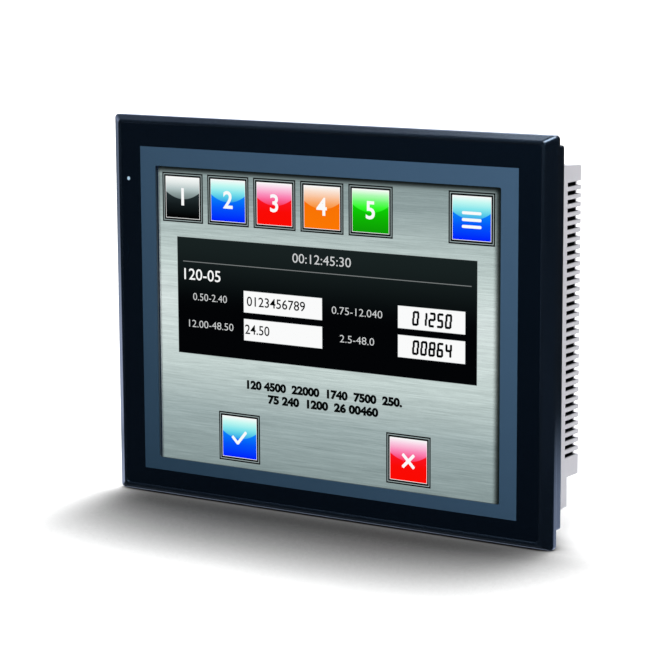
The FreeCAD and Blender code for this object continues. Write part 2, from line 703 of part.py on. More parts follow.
def make_chassis():
    body = new_body("ChassisPlate")
    pad(body, "Plate", "XZ", (chassis_face, chassis_back),
        [rounded(each_way(chassis_x), each_way(chassis_z), size.corner_radius)])
    pocket(body, "Holes", "XZ", (chassis_face, chassis_back),
           [disc(x, z, pilot_diameter) for x, z in chassis_screws]
           + [rounded(around(size.ribbon_x, size.chassis_window_width),
                      (main_high, main_high + size.chassis_window_height),
                      size.corner_radius)])
    node("chassis_plate", body)
    node("chassis_screws", group("ChassisScrews", [
        screw(f"ChassisScrew{i}", x, chassis_back, z)
        for i, (x, z) in enumerate(chassis_screws)]))


def make_standoffs():
    short = []
    long = []
    screws = []
    for i, (x, z) in enumerate(power_screws + inverter_screws):
        post = rod(f"ShortPost{i}", "y", (x, chassis_back, z), size.standoff_diameter,
                   size.short_standoff)
        bore = rod(f"ShortBore{i}", "y", (x, chassis_back, z), pilot_diameter,
                   size.short_standoff)
        short.append(cut(f"ShortStandoff{i}", post, [bore]))
        screws.append(board_screw(f"LowBoardScrew{i}", x, low_board_back, z,
                                  size.short_standoff))
    for i, (x, z) in enumerate(main_screws):
        post = rod(f"LongPost{i}", "y", (x, chassis_back, z), size.standoff_diameter,
                   main_face - chassis_back)
        bore = rod(f"LongBore{i}", "y", (x, main_face - pilot_length, z), pilot_diameter,
                   pilot_length)
        long.append(cut(f"LongStandoff{i}", post, [bore]))
        screws.append(board_screw(f"MainBoardScrew{i}", x, main_back, z, size.screw_length))
    node("short_standoffs", group("ShortStandoffs", short))
    node("long_standoffs", group("LongStandoffs", long))
    node("board_screws", group("BoardScrews", screws))


def board_screw(name, x, y, z, length):
    """A screw through a board into its standoff; y is the board's back."""
    head = rod(name + "Head", "y", (x, y, z), size.head_diameter, size.head_thickness)
    shank = rod(name + "Shank", "y", (x, y - length, z), size.screw_diameter, length)
    return fuse(name, [head, shank])


def board(name, x, y, z, screws):
    body = new_body(name)
    pad(body, "Board", "XZ", y, [rectangle(x, z)])
    pocket(body, "ScrewHoles", "XZ", y, [disc(u, v, pilot_diameter) for u, v in screws])
    return body


def make_boards():
    low = (low_board_face, low_board_back)
    node("power_board", board("PowerBoard", power_x, low, power_z, power_screws))
    node("inverter_board", board("InverterBoard", inverter_x, low, inverter_z, inverter_screws))
    node("main_board", board("MainBoard", main_x, (main_face, main_back), main_z, main_screws))


def make_power_parts():
    y = (low_board_back, low_board_back + size.transformer_depth)
    left = power_x[0]
    low = power_z[0]
    transformer_x = left + size.transformer_right
    transformer_z = low + size.transformer_up
    bobbin = block("Bobbin", around(transformer_x, size.transformer_core), y,
                   around(transformer_z, size.transformer_height))
    core = block("TransformerCore", around(transformer_x, size.transformer_width),
                 y, around(transformer_z, size.transformer_core))
    node("power_transformer", fuse("PowerTransformer", [bobbin, core]))
    node("power_capacitors", group("PowerCapacitors", [
        rod(f"PowerCapacitor{i}", "y",
            (left + size.power_cap_right, low_board_back,
             low + size.power_cap_up + i * size.power_cap_pitch),
            size.power_cap_diameter, size.power_cap_length)
        for i in range(int(number_of(size.power_cap_count)))]))
    choke_start = (left + size.choke_right, low_board_back, low + size.choke_up)
    ring = rod("ChokeRing", "y", choke_start, size.choke_diameter, size.choke_thickness)
    eye = rod("ChokeEye", "y", choke_start, size.choke_diameter / 2, size.choke_thickness)
    node("power_choke", cut("PowerChoke", ring, [eye]))
    node("inverter_transformers", group("InverterTransformers", [
        block(f"InverterTransformer{side}", around(inverter_middle, size.inverter_core_width),
              (low_board_back, low_board_back + size.inverter_core_depth),
              around((inverter_z[0] + inverter_z[1]) / 2
                     + side * size.inverter_core_row / 2, size.inverter_core_height))
        for side in (-1, 1)]))


def make_main_parts():
    chip_back = main_back + size.cpu_thickness
    cpu_z = main_low + size.cpu_up
    node("cpu_chip", block("CpuChip", around(size.cpu_x, size.cpu_size), (main_back, chip_back),
                           around(cpu_z, size.cpu_size)))
    sink = new_body("CpuHeatSink")
    low = size.cpu_x - size.sink_size / 2
    z = around(cpu_z, size.sink_size)
    base_back = chip_back + size.sink_base
    pad(sink, "Base", "XZ", (chip_back, base_back),
        [rectangle(around(size.cpu_x, size.sink_size), z)])
    fin = pad(sink, "Fin", "XZ", (base_back, chip_back + size.sink_height),
              [rectangle((low, low + size.fin_thickness), z)])
    pitch = (size.sink_size - size.fin_thickness) / (size.fin_count - 1)
    repeat(sink, "Fins", fin, "H_Axis", pitch, size.fin_count)
    node("cpu_heat_sink", sink)
    node("memory_chips", group("MemoryChips", [
        block(f"MemoryChip{column}{row}",
              around(size.memory_x + column * size.memory_pitch_x, size.memory_width),
              (main_back, main_back + size.memory_thickness),
              around(main_low + size.memory_up + row * size.memory_pitch_z,
                     size.memory_height))
        for column in (-1, 0) for row in (0, 1)]))
    node("board_capacitors", group("BoardCapacitors", [
        rod(f"BoardCapacitor{i}", "y",
            (size.cap_x + i * size.cap_pitch, main_back, main_low + size.cap_up),
            size.cap_diameter, size.cap_length)
        for i in range(int(number_of(size.cap_count)))]))
    node("expansion_connector", block(
        "ExpansionConnector", around(size.expansion_x, size.slot_connector_width),
        (main_back, main_back + size.slot_connector_depth),
        around(expansion_z, size.slot_connector_height)))


def make_display_ribbon():
    """A flat cable that leaves the display's back, runs up behind it and folds to the main board."""
    body = new_body("DisplayRibbon")
    thickness = size.ribbon_thickness
    rise = main_high + size.ribbon_stand
    start = rise + size.ribbon_stand + thickness
    landing = main_high - size.ribbon_stand
    front = chassis_face
    behind = main_back + thickness
    points = [(front, start), (front + thickness, start), (front + thickness, rise + thickness),
              (behind, rise + thickness), (behind, landing), (main_back, landing),
              (main_back, rise), (front, rise)]
    pad(body, "Ribbon", "YZ", around(size.ribbon_x, size.ribbon_width), [outline(points)])
    node("display_ribbon", body)


# ---------------------------------------------------------------- rear cover

# the ports stand in a row, each placed from the one to its right
terminal_x = main_half_width - size.terminal_inset
serial_a_x = terminal_x - size.serial_offset
serial_b_x = serial_a_x - size.serial_pitch
ethernet_x = serial_b_x - size.ethernet_offset
host_x = ethernet_x - size.host_offset
device_x = host_x - size.device_offset
board_ports = [(terminal_x, size.terminal_width, size.terminal_depth),
               (ethernet_x, size.ethernet_width, size.ethernet_depth),
               (host_x, size.host_width, size.host_depth),
               (device_x, size.device_width, size.device_depth)]
serial_y = (size.low_depth + size.rear_depth) / 2
serial_xs = (serial_a_x, serial_b_x)

bay_x = around(battery_x, size.battery_length + 2 * size.contact_thickness)
bay_z = around(battery_z, size.battery_diameter + 2 * size.battery_gap)
lid_seat = size.rear_depth - size.lid_thickness - size.lid_seat_gap
bay_floor = lid_seat - size.battery_diameter - size.battery_gap
lid_room_x = (bay_x[0] - size.lid_ledge, bay_x[1] + size.lid_ledge)
lid_room_z = (bay_z[0] - size.lid_ledge, bay_z[1] + size.lid_ledge)
lid_radius = size.lid_thickness / 2
lid_axis_y = size.rear_depth - lid_radius
lid_axis_z = lid_room_z[1] - size.lid_gap - lid_radius

guide_front = -(cover_x - size.cover_wall) + size.guide_gap
header_x = guide_front + size.card_length
header_end = header_x + size.header_length
card_low = main_back + size.card_lift
card_high = card_low + size.card_thickness
card_z = main_high - size.card_drop
groove_z = around(card_z, size.card_width)
rail_z = (groove_z[0] + size.rail_groove, groove_z[1] - size.rail_groove)
guide_z = (rail_z[0] - size.rail_thickness, rail_z[1] + size.rail_thickness)
lever_face = main_back + size.lever_lift
lever_back = lever_face + size.lever_thickness
lever_x = header_x + size.lever_offset
lever_z = card_z - size.lever_drop
rod_z = guide_z[0] - size.eject_rail_gap - size.eject_cap_width / 2
rod_low = lever_back + size.eject_gap
rod_y = rod_low + size.eject_rod_thickness / 2

expansion_z = main_high - size.expansion_drop
expansion_screws = [(size.expansion_x + side * (size.expansion_width - size.expansion_ledge) / 2,
                     expansion_z) for side in (-1, 1)]
reset_z = main_high - size.reset_down
switch_z = main_high - size.switch_down
switch_back = main_back + size.switch_depth
slider_xs = [size.switch_x + side * size.slider_pitch / 2 for side in (-1, 1)]
slider_low = switch_z - (size.slider_height + size.slider_travel) / 2

# how many vents fit: down to the step, and on the left above and below the card slot
vent_first = cover_top - size.vent_drop
vent_last = vent_first - size.vent_height
vent_count = rounded_down((vent_last - step_height - size.vent_end_room) / size.vent_pitch) + 1
left_upper_count = rounded_down((vent_last - groove_z[1] - size.vent_end_room)
                                / size.vent_pitch) + 1
left_skipped = rounded_up((vent_first - rod_z + size.eject_cap_width / 2 + size.vent_end_room)
                          / size.vent_pitch)
top_vents_each_side = rounded_down((cover_x - size.top_vent_room) / size.top_vent_pitch)


def tub_profile(wall):
    """Side profile of the rear cover, its walls moved inwards; it opens to the front."""
    front = plate_face if wall is size.cover_wall else size.skirt_depth
    return outline([
        (front, cover_bottom + wall), (size.low_depth - wall, cover_bottom + wall),
        (size.low_depth - wall, step_height + wall),
        (size.rear_depth - wall, step_height + wall),
        (size.rear_depth - wall, cover_top - wall),
        (front, cover_top + size.cover_top_draft - wall)])


def on_rear_rim(edge):
    """The outer edges of the tub's two rear faces, without the inner corner of the step."""
    middle = edge.CenterOfMass
    if near(middle.y, size.rear_depth):
        return True
    return near(middle.y, size.low_depth) and not near(middle.z, step_height)


def make_rear_cover():
    body = new_body("RearCover")
    plate_x = inside_x - size.plate_gap
    plate_z = inside_z - size.plate_gap
    pad(body, "Tub", "YZ", each_way(cover_x), [tub_profile(0)])
    dress(body, "Fillet", "RimRounds", on_rear_rim, Radius=size.cover_edge)
    pad(body, "Plate", "XZ", (plate_face, size.skirt_depth),
        [rectangle(each_way(plate_x), each_way(plate_z))])
    lip = size.lip_height
    pad(body, "Lip", "XZ", (size.skirt_depth, size.skirt_depth + size.lip_depth),
        [rectangle(each_way(cover_x + lip),
                   (cover_bottom - lip, cover_top + size.cover_top_draft + lip))])
    pocket(body, "Cavity", "YZ", each_way(cover_x - size.cover_wall),
           [tub_profile(size.cover_wall)])
    pocket(body, "CoverScrewHoles", "XZ", (plate_face, size.skirt_depth),
           [disc(x, z, pilot_diameter) for x, z in cover_screws])
    cut_vents(body)
    cut_port_windows(body)
    make_battery_bay(body)
    make_expansion_seat(body)
    cut_left_side(body)
    pocket(body, "SwitchWindows", "XZ", (rear_inside, size.rear_depth),
           [disc(size.reset_x, reset_z, size.reset_diameter + 2 * size.reset_hole_gap),
            rectangle(around(size.switch_x, size.switch_width + 2 * size.switch_gap),
                      around(switch_z, size.switch_height + 2 * size.switch_gap))])
    node("rear_cover", body)


def cut_vents(body):
    """Slots through the side walls that run out over the rear edge, and short ones above and below."""
    over = size.cut_over
    right = (cover_x - size.vent_wrap, cover_x + over)
    left = (-cover_x - over, size.vent_wrap - cover_x)
    first = (vent_last, vent_first)
    drop = size.vent_pitch * left_skipped
    lower = (first[0] - drop, first[1] - drop)
    for name, x, z, count in (("RightVent", right, first, vent_count),
                              ("LeftUpperVent", left, first, left_upper_count),
                              ("LeftLowerVent", left, lower, vent_count - left_skipped)):
        slot = pocket(body, name, "XZ", (size.vent_start, size.rear_depth + over),
                      [rectangle(x, z)])
        repeat(body, name + "s", slot, "V_Axis", size.vent_pitch, count, reverse=True)
    row = around(-size.top_vent_pitch * top_vents_each_side, size.top_vent_width)
    wall = size.cover_wall
    for name, y, z in (
            ("TopVent", (size.top_vent_start, size.top_vent_end),
             (cover_top - wall - over, cover_top + size.cover_top_draft + over)),
            ("LowVent", (size.low_vent_start, size.low_vent_end),
             (cover_bottom - over, cover_bottom + wall + over))):
        slot = pocket(body, name, "XY", z, [rectangle(row, y)])
        repeat(body, name + "s", slot, "H_Axis", size.top_vent_pitch,
               2 * top_vents_each_side + 1)


def cut_port_windows(body):
    gap = size.port_gap
    over = size.cut_over
    windows = [rectangle(around(x, width + 2 * gap), (main_back - gap, main_back + depth + gap))
               for x, width, depth in board_ports]
    for x in serial_xs:
        windows.append(rectangle(around(x, size.serial_body_width + 2 * gap),
                                 around(serial_y, size.serial_body_depth + gap)))
        windows += [disc(x + side * size.jackscrew_spacing / 2, serial_y, pilot_diameter)
                    for side in (-1, 1)]
    pocket(body, "PortWindows", "XY",
           (step_height - over, step_height + size.cover_wall + over), windows)


def make_battery_bay(body):
    wall = size.bay_wall
    pad(body, "BayWalls", "XZ", (bay_floor - wall, rear_inside),
        [rectangle((bay_x[0] - size.lid_ledge - wall, bay_x[1] + size.lid_ledge + wall),
                   (bay_z[0] - size.lid_ledge - wall, bay_z[1] + size.lid_ledge + wall))])
    pocket(body, "Bay", "XZ", (bay_floor, size.rear_depth), [rectangle(bay_x, bay_z)])
    notch_low = lid_room_z[0] - size.lid_notch_height
    pocket(body, "LidRoom", "XZ", (lid_seat, size.rear_depth), [rectangle(lid_room_x, lid_room_z)])
    pocket(body, "LidNotch", "XZ", (lid_seat + size.lid_thickness / 2, size.rear_depth),
           [rectangle(around(battery_x, size.lid_notch_width),
                      (notch_low, lid_room_z[0]))])
    reach = size.lid_pin_length + size.lid_seat_gap
    pocket(body, "LidPinHoles", "YZ", (lid_room_x[0] - reach, lid_room_x[1] + reach),
           [disc(lid_axis_y, lid_axis_z, size.lid_pin_diameter + 2 * size.lid_pin_gap)])


def make_expansion_seat(body):
    """A shallow seat for the plate, two screw bosses behind it and the opening for a board."""
    seat = size.rear_depth - size.expansion_thickness
    x = size.expansion_x
    z = expansion_z
    pad(body, "ExpansionBosses", "XZ", (rear_inside - size.expansion_boss_length, rear_inside),
        [disc(u, v, size.expansion_boss) for u, v in expansion_screws])
    pocket(body, "ExpansionSeat", "XZ", (seat, size.rear_depth),
           [rectangle(around(x, size.expansion_width), around(z, size.expansion_height))])
    pocket(body, "ExpansionOpening", "XZ", (rear_inside, seat),
           [rectangle(around(x, size.expansion_width - 2 * size.expansion_ledge),
                      around(z, size.expansion_height - 2 * size.expansion_ledge))])
    pocket(body, "ExpansionPilots", "XZ", (seat - size.expansion_boss_length, seat),
           [disc(u, v, pilot_diameter) for u, v in expansion_screws])


def cut_left_side(body):
    """The mouth of the card slot and the hole of the eject button."""
    gap = size.eject_gap
    pocket(body, "CardMouth", "YZ", (-cover_x, size.cover_wall - cover_x),
           [rectangle((card_low, card_high), groove_z),
            rectangle(around(rod_y, size.eject_cap_thickness + 2 * gap),
                      around(rod_z, size.eject_cap_width + 2 * gap))])


def make_cover_screws():
    node("rear_cover_screws", group("RearCoverScrews", [
        screw(f"CoverScrew{i}", x, size.skirt_depth, z) for i, (x, z) in enumerate(cover_screws)]))


def make_expansion_cover():
    body = new_body("ExpansionCover")
    seat = size.rear_depth - size.expansion_thickness
    gap = 2 * size.expansion_gap
    pad(body, "Plate", "XZ", (seat, size.rear_depth),
        [rounded(around(size.expansion_x, size.expansion_width - gap),
                 around(expansion_z, size.expansion_height - gap), size.cover_edge)])
    pocket(body, "Holes", "XZ", (seat, size.rear_depth),
           [disc(x, z, pilot_diameter) for x, z in expansion_screws])
    dress(body, "Chamfer", "Sinks",
          lambda edge: (edge.Curve.TypeId == "Part::GeomCircle"
                        and near(edge.CenterOfMass.y, size.rear_depth)
                        and near(edge.Curve.Radius, pilot_diameter / 2)),
          Size=size.sunk_head + size.screw_gap)
    node("expansion_cover", body)
    screws = []
    for i, (x, z) in enumerate(expansion_screws):
        head = doc.addObject("Part::Cone", f"SunkHead{i}")
        bind(head, Radius1=size.screw_diameter / 2,
             Radius2=size.screw_diameter / 2 + size.sunk_head, Height=size.sunk_head)
        place(head, x, size.rear_depth - size.sunk_head, z, along["y"])
        shank = rod(f"SunkShank{i}", "y",
                    (x, seat - size.expansion_boss_length + size.pilot_extra, z),
                    size.screw_diameter,
                    size.rear_depth - size.sunk_head - seat + size.expansion_boss_length
                    - size.pilot_extra)
        screws.append(fuse(f"SunkScrew{i}", [head, shank]))
    node("expansion_cover_screws", group("ExpansionCoverScrews", screws))


# ---------------------------------------------------------------- battery and its lid

def make_battery():
    node("battery", rod("Battery", "x",
                        (bay_x[0] + size.contact_thickness,
                         bay_floor + size.battery_gap / 2 + size.battery_diameter / 2,
                         battery_z), size.battery_diameter, size.battery_length))
    y = around(bay_floor + size.battery_gap / 2 + size.battery_diameter / 2, size.contact_height)
    z = around(battery_z, size.contact_width)
    ends = [(bay_x[0], bay_x[0] + size.contact_thickness),
            (bay_x[1] - size.contact_thickness, bay_x[1])]
    node("battery_contacts", group("BatteryContacts", [
        block(f"BatteryContact{i}", x, y, z) for i, x in enumerate(ends)]))


def make_battery_cover():
    """The lid: a plate with a round hinge edge at the top, and a pin at each end of it."""
    low = lid_room_x[0] + size.lid_gap
    high = lid_room_x[1] - size.lid_gap
    plate = block("LidPlate", (low, high), (size.rear_depth - size.lid_thickness, size.rear_depth),
                  (lid_room_z[0] + size.lid_gap, lid_axis_z))
    barrel = rod("LidBarrel", "x", (low, lid_axis_y, lid_axis_z), size.lid_thickness, high - low)
    pins = rod("LidPins", "x", (low - size.lid_pin_length, lid_axis_y, lid_axis_z),
               size.lid_pin_diameter, high - low + 2 * size.lid_pin_length)
    node("battery_cover", fuse("BatteryCover", [plate, barrel, pins]))


# ---------------------------------------------------------------- memory card slot and ejector

def make_card_slot():
    body = new_body("CardSlotGuide")
    y = (main_back, main_back + size.rail_height)
    pad(body, "Frame", "XZ", y, [rectangle((guide_front, header_end), guide_z)])
    pocket(body, "CardRoom", "XZ", y, [rectangle((guide_front, header_x), rail_z)])
    pocket(body, "Grooves", "YZ", (guide_front, header_x),
           [rectangle((card_low, card_high), groove_z)])
    tab_z = lever_z + size.lever_short_arm
    room = size.tab_room
    sweep = size.lever_sweep
    pocket(body, "LeverNotch", "XZ", (main_back, main_back + size.lever_notch),
           [rectangle((header_x - sweep, header_end), (guide_z[0], tab_z + sweep))])
    pocket(body, "TabRoom", "XZ", (main_back, lever_back + size.tab_rise + size.eject_gap),
           [rectangle((header_x, lever_x + size.tab_width + room),
                      around(tab_z, size.tab_height + 2 * room))])
    shelf_x = header_x - size.shelf_start
    pad(body, "Shelf", "XZ", (main_back, lever_back),
        [rectangle((shelf_x, shelf_x + size.shelf_length),
                   (rod_z - size.eject_rod_width / 2, guide_z[0]))])
    node("card_slot_guide", body)


def make_ejector():
    cap_end = size.eject_cap_length - cover_x - size.eject_reach
    cap = block("EjectCap", (-cover_x - size.eject_reach, cap_end),
                around(rod_y, size.eject_cap_thickness), around(rod_z, size.eject_cap_width))
    bar = block("EjectBar", (cap_end, lever_x + size.eject_peg_diameter),
                around(rod_y, size.eject_rod_thickness), around(rod_z, size.eject_rod_width))
    peg = rod("EjectPeg", "y", (lever_x, lever_face, rod_z), size.eject_peg_diameter,
              rod_low - lever_face)
    node("card_eject_button", fuse("CardEjectButton", [cap, bar, peg]))

    lever = new_body("CardEjectLever")
    half = size.lever_width / 2
    slot = size.eject_peg_diameter / 2 + size.eject_peg_gap
    bottom = rod_z - size.lever_end
    slot_top = rod_z + slot + size.eject_gap
    tab_z = lever_z + size.lever_short_arm
    top = tab_z + size.tab_height / 2
    pad(lever, "Bar", "XZ", (lever_face, lever_back),
        [outline([(lever_x - half, bottom), (lever_x - slot, bottom), (lever_x - slot, slot_top),
                  (lever_x + slot, slot_top), (lever_x + slot, bottom), (lever_x + half, bottom),
                  (lever_x + half, top), (lever_x - half, top)]),
         disc(lever_x, lever_z, size.lever_pin_diameter + 2 * size.lever_pin_gap)])
    pad(lever, "Tab", "XZ", (lever_back, lever_back + size.tab_rise),
        [rectangle((lever_x, lever_x + size.tab_width), around(tab_z, size.tab_height))])
    node("card_eject_lever", lever)
    node("eject_lever_pin", rod("EjectLeverPin", "y", (lever_x, main_back, lever_z),
                                size.lever_pin_diameter, size.lever_lift + size.lever_thickness
                                + size.eject_gap / 2))


# ---------------------------------------------------------------- buttons and switches

def make_reset_button():
    x = size.reset_x
    z = reset_z
    top = main_back + size.reset_body_height
    body = block("ResetBlank", around(x, size.reset_body), (main_back, top),
                 around(z, size.reset_body))
    bore = rod("ResetBore", "y", (x, top - size.reset_bore_depth, z),
               size.reset_diameter + 2 * size.reset_bore_gap, size.reset_bore_depth)
    node("reset_switch_body", cut("ResetSwitchBody", body, [bore]))
    low = top - size.reset_depth
    node("reset_button", rod("ResetButton", "y", (x, low, z), size.reset_diameter,
                             size.rear_depth - size.reset_sink - low))


def make_terminator_switch():
    blank = block("SwitchBlank", around(size.switch_x, size.switch_width),
                  (main_back, switch_back), around(switch_z, size.switch_height))
    gap = size.slider_gap
    slot_low = switch_back - size.slider_slot_depth
    slots = [block(f"SliderSlot{i}", around(x, size.slider_width + 2 * gap),
                   (slot_low, switch_back),
                   (slider_low - gap, slider_low + size.slider_height + size.slider_travel + gap))
             for i, x in enumerate(slider_xs, start=1)]
    node("terminator_switch_body", cut("TerminatorSwitchBody", blank, slots))
    for i, x in enumerate(slider_xs, start=1):
        node(f"terminator_slider_{i}",
             block(f"TerminatorSlider{i}", around(x, size.slider_width),
                   (slot_low + gap, slot_low + gap + size.slider_depth),
                   (slider_low, slider_low + size.slider_height)))


# ---------------------------------------------------------------- ports on the underside

def make_serial_ports():
    jackscrews = []
    flange_z = (step_height - size.serial_flange_thickness, step_height)
    for name, x in zip(("a", "b"), serial_xs):
        body = new_body(f"SerialPort{name.upper()}")
        pad(body, "Flange", "XY", flange_z,
            [rounded(around(x, size.serial_flange_width), around(serial_y, size.serial_flange_depth),
                     size.serial_shell_corner)]
            + [disc(x + side * size.jackscrew_spacing / 2, serial_y, pilot_diameter)
               for side in (-1, 1)])
        half = size.serial_shell_width / 2
        slant = size.serial_shell_slant
        y = around(serial_y, size.serial_shell_depth)
        pad(body, "Shell", "XY", (flange_z[0] - size.serial_shell_height, flange_z[0]),
            [outline([(x - half + slant, y[0]), (x + half - slant, y[0]), (x + half, y[1]),
                      (x - half, y[1])])])
        low = number_of(flange_z[0])
        dress(body, "Fillet", "ShellRounds",
              lambda edge: runs(edge, "z") and edge.CenterOfMass.z < low,
              Radius=size.serial_shell_corner)
        pad(body, "Housing", "XY", (step_height, step_height + size.serial_body_height),
            [rectangle(around(x, size.serial_body_width), around(serial_y, size.serial_body_depth))])
        node(f"serial_port_{name}", body)
        jackscrews += [jackscrew(f"{name}{side + 1}", x + side * size.jackscrew_spacing / 2)
                       for side in (-1, 1)]
    node("port_jackscrews", group("PortJackscrews", jackscrews))


def jackscrew(name, x):
    """A hexagonal post with a threaded hole in its end, and a shank through the flange."""
    top = step_height - size.serial_flange_thickness
    post = doc.addObject("Part::Prism", "JackPost" + name)
    post.Polygon = 6
    bind(post, Circumradius=size.jackscrew_across / math.sqrt(3), Height=size.jackscrew_height)
    place(post, x, serial_y, top - size.jackscrew_height)
    bore = rod("JackBore" + name, "z", (x, serial_y, top - size.jackscrew_height),
               size.jackscrew_bore, size.jackscrew_bore_depth)
    shank = rod("JackShank" + name, "z", (x, serial_y, top), size.screw_diameter,
                size.serial_flange_thickness + size.cover_wall + size.jackscrew_past)
    return fuse("Jackscrew" + name, [cut("JackHex" + name, post, [bore]), shank])


def make_ethernet_jack():
    low = step_height - size.port_show
    y = (main_back, main_back + size.ethernet_depth)
    blank = block("EthernetBlank", around(ethernet_x, size.ethernet_width), y,
                  (low, low + size.ethernet_length))
    middle = (y[0] + y[1]) / 2
    mouth = block("EthernetMouth", around(ethernet_x, size.ethernet_mouth_width),
                  around(middle, size.ethernet_mouth_depth),
                  (low, low + size.ethernet_mouth_length))
    latch_low = middle + size.ethernet_mouth_depth / 2
    latch = block("EthernetLatch", around(ethernet_x, size.ethernet_latch_width),
                  (latch_low, latch_low + size.ethernet_latch_depth),
                  (low, low + size.ethernet_mouth_length))
    node("ethernet_jack", cut("EthernetJack", blank, [mouth, latch]))


def usb_port(name, x, width, depth, length, wall, tongue_width, tongue_depth):
    low = step_height - size.port_show
    middle = main_back + depth / 2
    blank = block(name + "Blank", around(x, width), (main_back, main_back + depth),
                  (low, low + length))
    mouth = block(name + "Mouth", around(x, width - 2 * wall), around(middle, depth - 2 * wall),
                  (low, low + size.usb_mouth_length))
    tongue = block(name + "Tongue", around(x, tongue_width), around(middle, tongue_depth),
                   (low + size.port_show, low + size.usb_mouth_length))
    return fuse(name, [cut(name + "Shell", blank, [mouth]), tongue])


def make_usb_ports():
    node("usb_host_port", usb_port("UsbHost", host_x, size.host_width, size.host_depth,
                                   size.host_length, size.host_wall, size.host_tongue_width,
                                   size.host_tongue_depth))
    node("usb_device_port", usb_port("UsbDevice", device_x, size.device_width,
                                     size.device_depth, size.device_length, size.device_wall,
                                     size.device_tongue_width, size.device_tongue_depth))


def make_power_terminals():
    low = step_height - size.terminal_show
    y = main_back
    blank = block("TerminalBlank", around(terminal_x, size.terminal_width),
                  (y, y + size.terminal_depth), (low, low + size.terminal_height))
    tools = []
    screws = []
    for i in (-1, 0, 1):
        x = terminal_x + i * size.terminal_pitch
        tools.append(block(f"WireHole{i + 1}", around(x, size.wire_hole),
                           around(y + size.wire_hole_line, size.wire_hole),
                           (low, low + size.wire_hole_depth)))
        start = (x, y + size.terminal_screw_line, low)
        head = (x, y + size.terminal_screw_line, low + size.terminal_screw_sink)
        tools.append(rod(f"ScrewWell{i + 1}", "z", start,
                         size.terminal_screw_diameter + 2 * size.screw_gap,
                         size.terminal_screw_sink + size.terminal_screw_length))
        screws.append(rod(f"TerminalScrew{i + 1}", "z", head, size.terminal_screw_diameter,
                          size.terminal_screw_length))
    node("power_terminal_block", cut("PowerTerminalBlock", blank, tools))
    node("terminal_screws", group("TerminalScrews", screws))


# ---------------------------------------------------------------- build, check and write

def check_document():
    doc.recompute()
    failed = [item.Label for item in doc.Objects
              if "Invalid" in item.State or "Error" in item.State]
    failed += [item.Label for item in nodes
               if item.Shape.isNull() or not item.Shape.isValid() or not item.Shape.Solids]
    if failed:
        raise ValueError("failed: " + ", ".join(failed))


def write_parts():
    os.makedirs("parts", exist_ok=True)
    for item in nodes:
        item.Shape.exportStep(f"parts/{item.Label}.step")
        print(item.Label, len(item.Shape.Solids), round(item.Shape.Volume, 1))


make_front_bezel()
make_front_sheet()
make_run_lamp()
make_panel_gasket()
make_touch_panel()
make_display_module()
make_chassis()
make_standoffs()
make_boards()
make_power_parts()
make_main_parts()
make_display_ribbon()
make_rear_cover()
make_cover_screws()
make_expansion_cover()
make_battery()
make_battery_cover()
make_card_slot()
make_ejector()
make_reset_button()
make_terminator_switch()
make_serial_ports()
make_ethernet_jack()
make_usb_ports()
make_power_terminals()
check_document()
write_parts()
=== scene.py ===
import math

import bpy
from mathutils import Matrix, Vector


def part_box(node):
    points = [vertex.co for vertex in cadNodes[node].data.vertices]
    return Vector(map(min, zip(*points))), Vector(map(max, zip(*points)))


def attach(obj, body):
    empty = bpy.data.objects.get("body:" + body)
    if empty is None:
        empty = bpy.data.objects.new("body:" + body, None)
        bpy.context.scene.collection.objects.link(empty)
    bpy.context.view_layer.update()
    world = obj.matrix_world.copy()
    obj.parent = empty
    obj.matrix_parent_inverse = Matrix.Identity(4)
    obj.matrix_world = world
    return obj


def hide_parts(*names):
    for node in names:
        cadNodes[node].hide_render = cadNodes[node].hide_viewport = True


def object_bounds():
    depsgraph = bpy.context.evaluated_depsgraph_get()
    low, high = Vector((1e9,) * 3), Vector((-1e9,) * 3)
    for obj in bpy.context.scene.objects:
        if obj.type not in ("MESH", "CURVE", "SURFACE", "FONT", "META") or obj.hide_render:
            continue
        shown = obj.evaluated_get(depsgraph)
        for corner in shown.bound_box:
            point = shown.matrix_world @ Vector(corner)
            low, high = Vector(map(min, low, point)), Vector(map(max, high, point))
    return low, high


mm = 0.001
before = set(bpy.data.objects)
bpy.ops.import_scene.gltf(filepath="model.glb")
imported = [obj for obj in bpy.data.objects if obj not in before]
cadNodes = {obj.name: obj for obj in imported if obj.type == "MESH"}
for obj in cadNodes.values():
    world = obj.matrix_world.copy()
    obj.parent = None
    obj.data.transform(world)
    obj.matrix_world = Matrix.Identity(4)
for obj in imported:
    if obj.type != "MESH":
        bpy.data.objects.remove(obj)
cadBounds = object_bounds()
bpy.context.scene.view_settings.view_transform = "Standard"
print("frame loaded:", len(cadNodes), "parts")


# shader maths and finishes

def ink(*colour):
    # a screen colour from 0 to 255 as linear light
    return tuple(c / 12.92 if c <= 0.04045 else ((c + 0.055) / 1.055) ** 2.4
                 for c in (level / 255 for level in colour)) + (1,)


def mathsNode(operation, turned=False):
    # a method that feeds one kind of Math node, the signal first unless turned
    def method(self, *others):
        values = (*others, self) if turned else (self, *others)
        return self.nodes.node("Math", dict(enumerate(values)), operation=operation)

    return method


